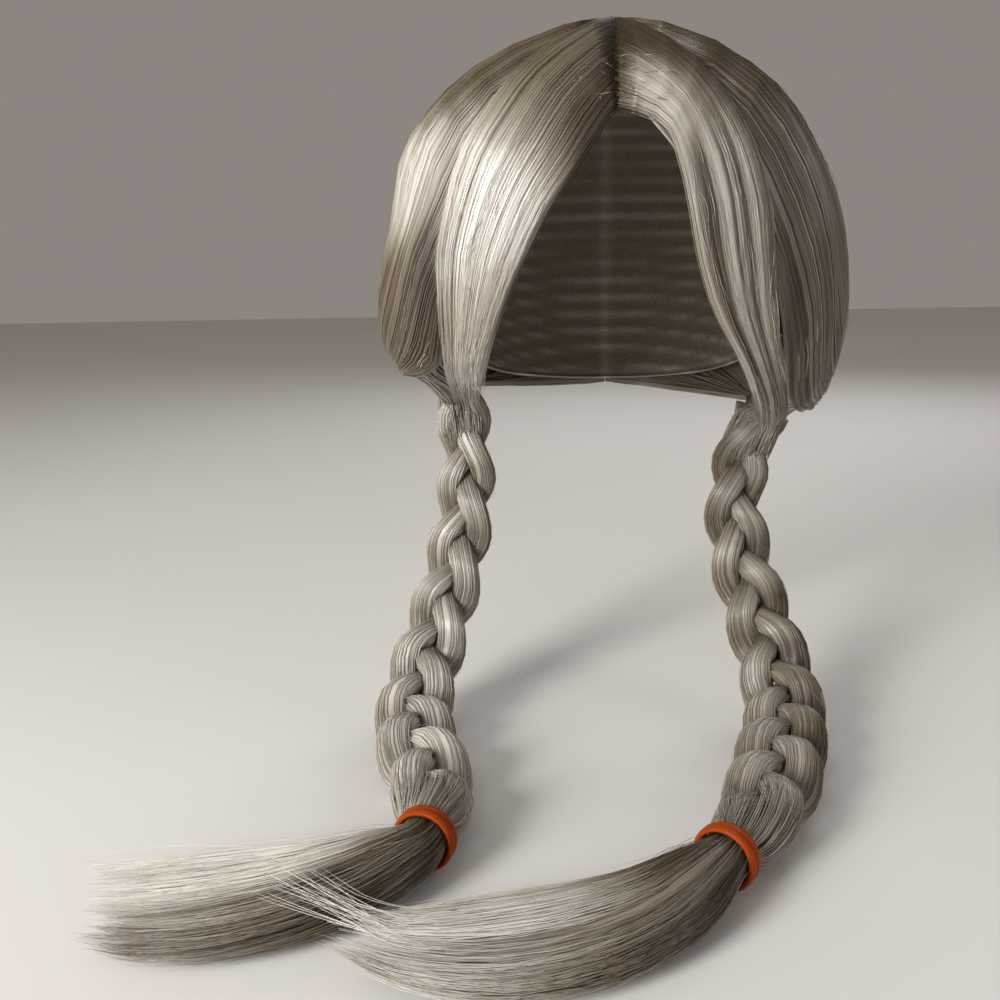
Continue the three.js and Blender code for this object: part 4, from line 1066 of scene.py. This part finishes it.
class PlaitLine:
    def __init__(self, side):
        rows = np.array(PLAIT[side], float)
        self.points, self.t = centripetal(rows[:, :3])
        seg = np.linalg.norm(np.diff(self.points, axis=0), axis=1)
        self.s = np.concatenate([[0], np.cumsum(seg)])
        self.length = self.s[-1]
        along = unit(np.gradient(self.points, self.s, axis=0))
        face = smooth(rows[:, 3:6], self.t)
        face = unit(face - along * np.sum(face * along, -1, keepdims=True))
        self.columns = np.concatenate([self.points, along, face, smooth(rows[:, 6], self.t)[:, None]], 1)

    def at(self, s):
        s = np.asarray(s, float)
        q = np.stack([np.interp(s, self.s, self.columns[:, c]) for c in range(10)], -1)
        along, face = unit(q[..., 3:6]), unit(q[..., 6:9])
        return q[..., :3], along, face, np.cross(along, face), q[..., 9]


def plait_turns(side, s):
    """Periods of the plait from the gather to s."""
    c = PLAIT_LOOSENING[side]
    beyond = np.maximum(0, s - PLAIT_LOOSE_FROM)
    return (np.minimum(s, PLAIT_LOOSE_FROM) + PLAIT_LOOSE_OVER / c * np.log1p(c * beyond / PLAIT_LOOSE_OVER)) / PLAIT_PERIOD


def strand_centre(side, k, s):
    phase = 2 * math.pi * (plait_turns(side, s) + k / 3)
    return PLAIT_SWING * np.sin(phase), PLAIT_WEAVE * np.sin(2 * phase)


def strand_reach(side, k, s, angle):
    a, b = strand_centre(side, k, s)
    ca, cb = np.cos(angle), np.sin(angle)
    r = 1 / np.hypot(ca / STRAND_HALF_WIDTH, cb / STRAND_HALF_THICKNESS)
    for j in range(3):
        if j == k:
            continue
        a2, b2 = strand_centre(side, j, s)
        d = np.hypot(a2 - a, b2 - b)
        facing = (ca * (a2 - a) + cb * (b2 - b)) / d
        limit = (d / 2 - GAP / 2) / np.maximum(facing, 0.02)
        r = np.where(facing > 0.02, np.minimum(r, limit), r)
    return r


def plait_surface(side, line, k):
    def surface(u, v, h):
        u, v = np.broadcast_arrays(u, v)
        s = v * line.length
        place, along, face, across, size = line.at(s)
        angle = 2 * math.pi * u
        a, b = strand_centre(side, k, s)
        r = strand_reach(side, k, s, angle)
        wide = a + r * np.cos(angle)
        deep = b + r * np.sin(angle)
        out = across * np.cos(angle)[..., None] + face * np.sin(angle)[..., None]
        p = place + across * (size * wide)[..., None] + face * (size * deep)[..., None] + out * h[..., None]
        p[..., 2] = np.maximum(p[..., 2], FLOOR + 0.4)
        return p, out

    return surface


def plait(side):
    name = "r" if side < 0 else "l"
    line = PlaitLine(side)
    steps = int(round(line.length / 5.0))
    for k in range(3):
        rng = np.random.default_rng(70 + 10 * k + (0 if side < 0 else 5))
        surface = plait_surface(side, line, k)
        a, b = 36, steps
        v, u = np.broadcast_arrays(np.linspace(0, 1, b)[:, None], (np.arange(a) / a)[None, :])
        groove = ridges(u, 80 + k + side, 9) * 0.25
        rings, _ = surface(u, v, -0.35 + groove)

        def tone_and_painted_light(u, v, place):
            # painted shade deep between the strands and near the gather, painted light where a strand comes over the
            # top; the right plait is painted lighter, most towards its end, the left one darker
            s = v * line.length
            angle = 2 * math.pi * u
            free = strand_reach(side, k, s, angle) * np.hypot(
                np.cos(angle) / STRAND_HALF_WIDTH, np.sin(angle) / STRAND_HALF_THICKNESS)
            end = step(v, 0.60, 0.85) * (0.16 if side < 0 else 0.06) + (0.14 if side < 0 else -0.02)
            if side > 0 and place is not None:
                # painted shadow over the outer lobes of the left plait
                end = end - 0.26 * step(place[..., 0], 64, 80)
            high = np.abs(strand_centre(side, k, s)[1] + STRAND_HALF_THICKNESS * np.sin(angle)) / (
                PLAIT_WEAVE + STRAND_HALF_THICKNESS)
            return -0.50 * (1 - free) + end - 0.06 * step(-v, -0.12, 0.0) + 0.30 * (step(high, 0.2, 0.95) - 0.52)

        # the body's colour: painted shade in the grooves and the painted light and shade of the plait
        parts = [dict(loft_body(rings, hair_colour(0.48 + 0.16 * groove + tone_and_painted_light(u, v, rings)), (42, line.length)), body=True)]
        groups = clumps(rng, 24, 1.1)
        n = 90
        parts.append(lay(rng, surface, n, steps, groups, r=0.14, depth=0.15, dome=0.08, pinch=0.0, tone=0.52, spread=0.03,
                         strand_spread=0.06, tone_and_painted_light=tone_and_painted_light, wander=0.5, jitter_h=0.03, taper=(0.01, 0.01), level=True))
        n = 90
        start = rng.uniform(0.02, 0.95, n)
        fly = clumps(rng, 60, 1.0)
        parts.append(lay(rng, surface, n, 7, fly, r=0.075, depth=0.0, dome=0.6, pinch=0.0, tone=0.60, wander=6.0,
                         spread=0.0, span=(start, np.minimum(1, start + rng.uniform(0.025, 0.07, n))), jitter_h=1.1))
        if k == 0:
            parts.append(bundle(rng, side, line))
        merged = join([dict(p, weight=w) for p, w in zip(parts, (0.8, 2.0, 0.15, 0.3))])
        place_piece(f"plait_{name}_strand_{k + 1}", merged, [HAIR, HAIR_BODY], "hair", f"plait_{name}_strand_{k + 1}")


def bundle(rng, side, line):
    """The last of the plait: its outer hair runs straight over the strands into the band."""
    n, k = 230, 12
    turn = rng.uniform(0, 2 * math.pi, n)[:, None]
    t = np.linspace(0, 1, k)[None, :]
    row = np.array(TAIL[side][0][:3], float)
    beyond = np.linalg.norm(row - line.points[-1])
    start = line.length - rng.uniform(16, 30, n)[:, None]
    s = start + (line.length + beyond - 0.5 - start) * t
    angle = turn + 0.5 * (1 - t) * (1 if side < 0 else -1)
    place, along, face, across, size = line.at(s)
    place = place + unit(row - line.points[-1]) * np.maximum(0, s - line.length)[..., None]
    # the outside of the three strands together
    r = np.zeros(s.shape)
    for j in range(3):
        a, b = strand_centre(side, j, np.minimum(s, line.length))
        nearest = np.clip(a * np.cos(angle) + b * np.sin(angle), 0, None)
        off = np.abs(-a * np.sin(angle) + b * np.cos(angle))
        own = np.hypot(STRAND_HALF_WIDTH * np.cos(angle), STRAND_HALF_THICKNESS * np.sin(angle))
        r = np.maximum(r, nearest + own * np.sqrt(np.maximum(0.05, 1 - (off / 7.4) ** 2)))
    r = r * size
    neck = TAIL_NECK_R + 0.1
    inside = s < line.length - 1
    straight = r[:, :1] * (1 - t) + neck * t + 1.2 * np.sin(math.pi * t)
    r = np.where(inside, np.maximum(straight, r + 0.1), straight)
    close = step(t, 0.72, 0.94)
    r = r * (1 - close) + neck * close + rng.uniform(-0.5, 0.15, n)[:, None] * (1 - t) - 0.8 * (1 - step(t, 0, 0.15))
    p = place + (across * np.cos(angle)[..., None] + face * np.sin(angle)[..., None]) * r[..., None]
    p[..., 2] = np.maximum(p[..., 2], FLOOR + 0.5)
    radius = 0.20 * rng.uniform(0.7, 1.3, (n, 1)) * step(t, -0.15, 0.25)
    # painted lighter on the right plait than the left, as painted light, and darker just before the band, as painted
    # shade
    value = (0.62 if side < 0 else 0.50) + 0.06 * rng.normal(0, 1, (n, 1)) - 0.16 * step(t, 0.8, 1.0)
    return tubes(p, radius, hair_colour(value), unit(p - place))


# ---------------------------------------------------------------- bands


def band_material():
    m, tree, shader = new_material("band_elastic")
    link = tree.links.new
    uv = node(tree, "ShaderNodeUVMap", (-1100, 0), uv_map="OFBake")
    stretch = node(tree, "ShaderNodeMapping", (-900, 0))
    stretch.inputs["Scale"].default_value = (60.0, 500.0, 1.0)
    noise = node(tree, "ShaderNodeTexNoise", (-700, 0), Scale=1.0, Detail=3.0)
    ramp = node(tree, "ShaderNodeValToRGB", (-450, 60))
    ramp.color_ramp.elements[0].position = 0.3
    ramp.color_ramp.elements[0].color = (0.18, 0.014, 0.0003, 1)
    ramp.color_ramp.elements[1].position = 0.72
    ramp.color_ramp.elements[1].color = (0.40, 0.066, 0.0003, 1)
    link(uv.outputs["UV"], stretch.inputs["Vector"])
    link(stretch.outputs["Vector"], noise.inputs["Vector"])
    link(noise.outputs["Fac"], ramp.inputs["Fac"])
    link(ramp.outputs["Color"], shader.inputs["Base Color"])
    relief = node(tree, "ShaderNodeBump", (-300, -300), Strength=0.5, Distance=0.0002)
    link(noise.outputs["Fac"], relief.inputs["Height"])
    link(relief.outputs["Normal"], shader.inputs["Normal"])
    shader.inputs["Roughness"].default_value = 0.36
    shader.inputs["Specular IOR Level"].default_value = 0.12
    shader.inputs["Subsurface Weight"].default_value = 0.0
    return m


BAND = band_material()


def band(side):
    """An elastic cord wound twice round the hair, each turn ribbed along its length."""
    name = "r" if side < 0 else "l"
    rows = np.array(TAIL[side], float)
    middle = rows[0, :3]
    axis = unit(rows[1, :3] - rows[0, :3])
    x = unit(np.cross(axis, [0, 0, 1.0]))
    y = np.cross(x, axis)
    parts = []
    round_, sides = 96, 20
    for turn, tilt, lift in ((-1, 0.05, 0.0), (1, -0.07, 0.12)):
        th = 2 * math.pi * np.arange(round_) / round_
        out = x * np.cos(th)[:, None] + y * np.sin(th)[:, None]
        place = middle + axis * (turn * 1.60 + tilt * 7 * np.sin(th + turn))[:, None] + out * (
            BAND_BORE_R + 0.90 + lift + 0.06 * np.sin(3 * th))[:, None]
        ph = 2 * math.pi * np.arange(sides) / sides
        # flat, with a slight ridge along each turn and small creases round it
        crease = 0.03 * np.sin(17 * th + 2 * np.sin(3 * th))[:, None] * np.cos(ph)[None, :]
        flat = np.sign(np.cos(ph)) * np.abs(np.cos(ph)) ** 0.75
        ring = (place[:, None] + out[:, None] * (0.98 * flat[None, :] * (1 + 0.10 * np.cos(3 * ph)[None, :]) + crease)[..., None]
                + axis * (1.86 * np.sin(ph)[None, :] * (1 + crease))[..., None])
        i, j = np.meshgrid(np.arange(round_), np.arange(sides), indexing="ij")
        i, j = i.ravel(), j.ravel()
        i2, j2 = (i + 1) % round_, (j + 1) % sides
        quads = np.stack([i * sides + j, i2 * sides + j, i2 * sides + j2, i * sides + j2], 1)
        uv = np.stack([
            np.stack([i, i + 1, i + 1, i], 1) / round_ * 0.99 + 0.005,
            np.stack([j, j, j + 1, j + 1], 1) / sides * 0.98 + 0.01], -1).reshape(-1, 2)
        parts.append(dict(verts=ring.reshape(-1, 3), quads=quads, tris=np.zeros((0, 3), int),
                          colour=np.full((round_ * sides, 3), 0.5), uvs=uv, flow=uv.copy()))
    merged = join(parts)
    for key in ("colour", "flow", "which"):
        merged.pop(key)
    place_piece("band_" + name, merged, BAND, "band_elastic", "band_" + name)


# ---------------------------------------------------------------- tails


class TailLine:
    def __init__(self, side):
        rows = np.array(TAIL[side], float)
        back = rows[0, :3] - rows[1, :3]
        first = rows[0, :3] + back / np.linalg.norm(back) * (BAND_WIDTH / 2 + 1)
        self.points, self.t = centripetal(np.concatenate([[first], rows[:, :3]]))
        self.values = np.concatenate([[[TAIL_NECK_R, TAIL_NECK_R, 0]], rows[:, 3:6]])
        along = unit(np.gradient(self.points, axis=0))
        square = unit(np.cross(np.array([0, 0, 1.0]), along))
        up = np.cross(along, square)
        shape = smooth(self.values, self.t)
        lean = shape[:, 2:3] * DEG
        across = square * np.cos(lean) + np.cross(up, square) * np.sin(lean)
        self.columns = np.concatenate([self.points, along, across, up, shape[:, :2]], 1)
        self.steps = self.t / self.t[-1]

    def at(self, v):
        v = np.asarray(v, float)
        inside = np.clip(v, 0, 1)
        q = np.stack([np.interp(inside, self.steps, self.columns[:, c]) for c in range(14)], -1)
        place = q[..., :3] + q[..., 3:6] * (np.maximum(0, v - 1) * 150)[..., None]
        return place, q[..., 3:6], q[..., 6:9], q[..., 9:12], q[..., 12], q[..., 13]


def tail_paths(line, x, y, v, h=0.0):
    """Points at x, y in the tail's round section, -1..1 each, v along it."""
    place, along, across, up, wide, high = line.at(v)
    p = place + across * (wide * x)[..., None] + up * (high * y)[..., None]
    out = unit(across * (x / np.maximum(wide, 1))[..., None] + up * (y / np.maximum(high, 1))[..., None])
    p = p + out * np.asarray(h)[..., None]
    return p, out


def tail(side):
    name = "r" if side < 0 else "l"
    line = TailLine(side)
    rng = np.random.default_rng(91 if side < 0 else 92)
    parts = []
    # the body inside
    a, b = 64, 50
    stop = 0.80
    v, q = np.broadcast_arrays(np.linspace(0, stop, b)[:, None], (np.arange(a) / a)[None, :])
    groove = ridges(q, 95 + side, 30) * 0.5
    shrink = 0.93 - 0.60 * step(v, 0.45, stop) + groove * 0.06
    rings, _ = tail_paths(line, np.cos(2 * math.pi * q) * shrink * (1 - 0.1 * step(v, 0.5, stop)),
                          np.sin(2 * math.pi * q) * shrink, v)
    rings[..., 2] = np.maximum(rings[..., 2], FLOOR + 0.3)
    # darker near the band and lighter towards the tips, partly the hair's own tone and partly painted light; painted
    # shade in the grooves
    shade = 0.28 + 0.18 * groove + 0.35 * step(v, 0.35, 0.78)
    parts.append(dict(loft_body(rings, hair_colour(shade), (110, 135)), body=True))

    def strands(n, k, r, count, inner, tone, spread, ends, wild=0.0, weight=1.0, thin=0.25, first=0.0):
        # clumps in the round section, on it and inside it
        turn = rng.uniform(0, 2 * math.pi, count)
        rad = np.sqrt(rng.uniform(inner ** 2, 1, count))
        cx, cy = rad * np.cos(turn), rad * np.sin(turn)
        c = rng.integers(0, count, n)
        size = 0.12
        dx, dy = rng.normal(0, 1, (2, n)) * size
        t = np.linspace(0, 1, k)[None, :]
        clump_end = rng.uniform(*ends, count)
        end = clump_end[c] + rng.normal(0, 0.022, n)
        begin = rng.uniform(0, 1, n) * first
        v = begin[:, None] + (end - begin)[:, None] * t
        tight = 1 - 0.75 * step(v, 0.55, 1.05)
        drift = rng.normal(0, 1, (2, count)) * 0.10
        x = cx[c][:, None] + dx[:, None] * tight + drift[0][c][:, None] * step(v, 0.25, 1) + (0.03 + wild) * waves(
            rng, n, t, 0.4, 1.4) * step(v, 0.08, 0.3)
        y = cy[c][:, None] + dy[:, None] * tight + drift[1][c][:, None] * step(v, 0.25, 1) + (0.03 + wild) * waves(
            rng, n, t, 0.4, 1.4) * step(v, 0.08, 0.3)
        length = np.hypot(x, y)
        limit = 1.0 + 0.12 * step(v, 0.3, 1) + wild
        x, y = x / np.maximum(1, length / limit), y / np.maximum(1, length / limit)
        p, out = tail_paths(line, x, y, v, -seam(x, v) * 1.6)
        radius = r * rng.uniform(0.7, 1.3, (n, 1)) * (1 - (1 - thin) * step(t, 0.55, 1.0)) * np.ones_like(v)
        p[..., 2] = np.maximum(p[..., 2], FLOOR + 0.25 + radius)
        top = np.clip(y, -1, 1)
        # painted light on top and painted shade inside the tail
        value = (tone + spread * rng.normal(0, 1, count)[c][:, None] + 0.05 * rng.normal(0, 1, (n, 1))
                 + 0.05 * top - 0.16 * (1 - np.clip(np.hypot(x, y), 0, 1)) + tone_and_painted_light(x, y, v))
        return dict(tubes(p, radius, hair_colour(value), out), weight=weight)

    def seam(x, v):
        # the near lock of the left tail lies a little apart from the rest
        return bump(x, 0.22, 0.07) * step(v, 0.1, 0.25) * step(-v, -0.8, -0.6) if side > 0 else 0 * x * v

    def tone_and_painted_light(x, y, v):
        # dark near the band and near white towards the tips, the far streams first, partly the hair's own tone and
        # partly painted light; painted shade along the near side, in dark lines between the locks, on the far side of
        # the left tail near the band and right by the band
        if side < 0:
            near = step(x, -0.2, 0.5)
            light = step(v, 0.38 + 0.16 * near, 0.70 + 0.14 * near) * (0.76 - 0.46 * near) - 0.16 - 0.08 * step(v, 0.85, 1.0)
            lines = -0.16 * bump(x, 0.35, 0.05) - 0.14 * bump(x, 0.7, 0.05) - 0.16 * step(x, 0.5, 0.95)
        else:
            near = step(x, 0.0, 0.4)
            light = step(v, 0.38 + 0.08 * near, 0.70 + 0.08 * near) * (0.80 - 0.24 * near) - 0.24 + 0.08 * near
            light = light - 0.24 * step(-x, -0.2, 0.4) * (1 - step(v, 0.38, 0.64))
            lines = -0.26 * bump(x, 0.22, 0.05) * step(v, 0.08, 0.2) - 0.20 * step(x, 0.55, 0.95) * (1 - step(v, 0.6, 0.85))
        return light + lines * step(v, 0.1, 0.3) - 0.05 * bump(v, 0.05, 0.08)

    def tips():
        # stray hairs that fly out beyond the blunt end, up and away
        n, k = 34, 12
        t = np.linspace(0, 1, k)[None, :]
        v = rng.uniform(0.72, 0.82, n)[:, None] * (1 - t) + rng.uniform(1.06, 1.24, n)[:, None] * t
        x = rng.uniform(-0.9, 0.5, n)[:, None] * (1 - 0.4 * t)
        p, out = tail_paths(line, x, 0.8 * (1 - t) + 0 * x, v)
        fly = rng.uniform(0.2, 1.0, n)[:, None] * t ** 1.7
        p = p + np.stack([-2.0 * fly, 15.0 * fly, 9.0 * fly], -1)
        value = 0.92 + 0.08 * rng.normal(0, 1, (n, 1)) + 0 * t
        return dict(tubes(p, 0.14 * (1 - 0.6 * t) + 0 * x, hair_colour(value), out), weight=0.1)

    parts[0]["weight"] = 0.8
    parts.append(strands(620, 14, 0.22, 130, 0.80, 0.34, 0.12, (0.84, 1.0), weight=2.2))
    parts.append(strands(440, 14, 0.13, 160, 0.88, 0.40, 0.11, (0.8, 1.05), wild=0.05, weight=0.7))
    parts.append(strands(60, 13, 0.085, 60, 0.95, 0.56, 0.06, (0.5, 1.06), wild=0.25, weight=0.15, first=0.4))
    if side > 0:
        parts.append(tips())
    merged = join(parts)
    place_piece("tail_" + name, merged, [HAIR, HAIR_BODY], "hair", "tail_" + name)


# ---------------------------------------------------------------- the cap inside


def cap_material():
    m, tree, shader = new_material("cap_net")
    link = tree.links.new
    tone = node(tree, "ShaderNodeVertexColor", (-900, 200), layer_name="tone")
    place = node(tree, "ShaderNodeTexCoord", (-1300, -100))
    cells = node(tree, "ShaderNodeTexVoronoi", (-900, -100), Scale=900.0)
    cells.feature = "DISTANCE_TO_EDGE"
    link(place.outputs["Object"], cells.inputs["Vector"])
    span = node(tree, "ShaderNodeMapRange", (-680, -100))
    span.inputs["From Min"].default_value = 0.02
    span.inputs["From Max"].default_value = 0.16
    span.inputs["To Min"].default_value = 1.12
    span.inputs["To Max"].default_value = 0.74
    link(cells.outputs["Distance"], span.inputs["Value"])
    mix = node(tree, "ShaderNodeVectorMath", (-420, 160), operation="MULTIPLY")
    link(tone.outputs["Color"], mix.inputs[0])
    link(span.outputs["Result"], mix.inputs[1])
    link(mix.outputs["Vector"], shader.inputs["Base Color"])
    relief = node(tree, "ShaderNodeBump", (-420, -200), Strength=0.6, Distance=0.0003)
    relief.invert = True
    link(cells.outputs["Distance"], relief.inputs["Height"])
    link(relief.outputs["Normal"], shader.inputs["Normal"])
    shader.inputs["Roughness"].default_value = 0.85
    return m


CAP = cap_material()


def cap():
    """A net cap: rows of weft across its inside, seams over the crown and a rolled hem along its lower edge."""
    rim = np.array(CAP_RIM, float)
    a, b = 130, 72
    azimuth = 360.0 * np.arange(a) / a
    side_sign = np.where(azimuth <= 180, 1, -1)
    az = np.where(azimuth <= 180, azimuth, 360 - azimuth)
    # how far down the cap goes at each azimuth
    ups = np.linspace(20, 135, 461)
    low = np.empty(a)
    for i in range(a):
        s = int(side_sign[i])
        r = reach("head", s, np.full(ups.shape, az[i]), ups)
        p = CENTRE + direction(s, np.full(ups.shape, az[i]), ups) * r[:, None]
        below = lower_than(rim, p[:, 1], p[:, 2])
        low[i] = ups[np.argmax(below)] if below.any() else 135
        # its front edge lies under the hairline
        low[i] = min(low[i], 47.0 + 1.3 * az[i])
    low = np.convolve(np.concatenate([low[-2:], low, low[:2]]), np.ones(5) / 5, "valid")
    v = np.linspace(0.03, 1, b)[None, :]
    up = low[:, None] * v
    azg = np.broadcast_to(az[:, None], up.shape)
    sg = np.broadcast_to(side_sign[:, None], up.shape)
    r = np.where(sg < 0, reach("head", -1, azg, up), reach("head", 1, azg, up))
    way = np.where((sg < 0)[..., None], direction(-1, azg, up), direction(1, azg, up))
    base = CENTRE + way * r[..., None]
    # weft rows lie level round the cap, about 8 mm apart
    depth = base[..., 2] - 0.12 * np.abs(base[..., 1])
    row = (depth / 8.0) % 1.0
    weft = np.exp(-(((row - 0.5) / 0.13) ** 2))
    seam = np.exp(-((base[..., 0] / 2.2) ** 2)) * step(up, 4, 12)
    ear = np.exp(-(((azg - 96) / 1.8) ** 2)) * step(up, 30, 50)
    hem = step(v, 0.968, 0.985) + 0 * up
    rise = 0.1 + 0.55 * weft * (1 - hem) + 0.5 * seam + 0.45 * ear + 0.7 * hem
    inner = CENTRE + way * (r - rise * 0.9)[..., None]
    outer = CENTRE + way * (r + CAP_THICKNESS - 0.3)[..., None]
    stitch = 0.5 + 0.5 * np.cos(azg * DEG * 260)
    tone = 0.30 + (0.20 + 0.10 * stitch) * weft + 0.20 * hem + 0.16 * np.maximum(seam, ear)
    colour = hair_colour(tone)
    arrays = closed_bowl(inner, outer, colour)
    place_piece("cap", arrays, CAP, "cap_net", "cap")


def lower_than(rim, y, z):
    """True under the cap's lower edge, as seen from the side."""
    outline = np.concatenate([rim, [[130, -300], [-120, -300]]])
    return inside_outline(outline, y, z) > 0


def closed_bowl(inner, outer, colour):
    """A closed bowl from an inner and an outer grid, both closed round the first axis, joined at the lower edge."""
    a, b, _ = inner.shape
    n = a * b
    verts = np.concatenate([inner.reshape(-1, 3), outer.reshape(-1, 3),
                            inner[:, 0].mean(0)[None] + [0, 0, 0.05], outer[:, 0].mean(0)[None] + [0, 0, 0.05]])
    i, j = np.meshgrid(np.arange(a), np.arange(b - 1), indexing="ij")
    i, j = i.ravel(), j.ravel()
    i2 = (i + 1) % a
    inn = np.stack([i * b + j, i * b + j + 1, i2 * b + j + 1, i2 * b + j], 1)[:, ::-1]
    out = np.stack([i * b + j, i * b + j + 1, i2 * b + j + 1, i2 * b + j], 1) + n
    ia = np.arange(a)
    ib = (ia + 1) % a
    lip = np.stack([ia * b + b - 1, ib * b + b - 1, ib * b + b - 1 + n, ia * b + b - 1 + n], 1)[:, ::-1]
    tris = np.concatenate([
        np.stack([np.full(a, 2 * n), ib * b, ia * b], 1)[:, ::-1],
        np.stack([np.full(a, 2 * n + 1), ib * b + n, ia * b + n], 1),
    ])
    u = np.stack([i, i, i + 1, i + 1], 1) / a
    v = np.stack([j, j + 1, j + 1, j], 1) / (b - 1)
    inn_uv = np.stack([u * 0.99 + 0.005, 0.01 + v * 0.50], -1)[:, ::-1]
    out_uv = np.stack([u * 0.99 + 0.005, 0.53 + v * 0.38], -1)
    lu = np.stack([ia, ia + 1, ia + 1, ia], 1) / a
    lip_uv = np.stack([lu * 0.99 + 0.005, np.broadcast_to(np.array([0.92, 0.92, 0.94, 0.94]), lu.shape)], -1)[:, ::-1]
    w = ia / a * 0.98 + 0.01
    t_uv = np.empty((2 * a, 3, 2))
    for s in (0, 1):
        t_uv[s * a:(s + 1) * a, 0] = np.stack([w + 0.49 / a, np.full(a, 0.965 + 0.02 * s)], 1)
        t_uv[s * a:(s + 1) * a, 1] = np.stack([w + 0.98 / a, np.full(a, 0.95 + 0.02 * s)], 1)
        t_uv[s * a:(s + 1) * a, 2] = np.stack([w, np.full(a, 0.95 + 0.02 * s)], 1)
    quads = np.concatenate([inn, out, lip])
    uvs = np.concatenate([inn_uv.reshape(-1, 2), out_uv.reshape(-1, 2), lip_uv.reshape(-1, 2), t_uv.reshape(-1, 2)])
    col = np.concatenate([colour.reshape(-1, 3), colour.reshape(-1, 3) * 0.8, colour[:, 0].mean(0)[None],
                          colour[:, 0].mean(0)[None]])
    return dict(verts=verts, quads=quads, tris=tris, colour=col, uvs=uvs)


# ---------------------------------------------------------------- all of it

cap()
for s in (-1, 1):
    crown(s)
    front_lock(s)
    plait(s)
    band(s)
    tail(s)
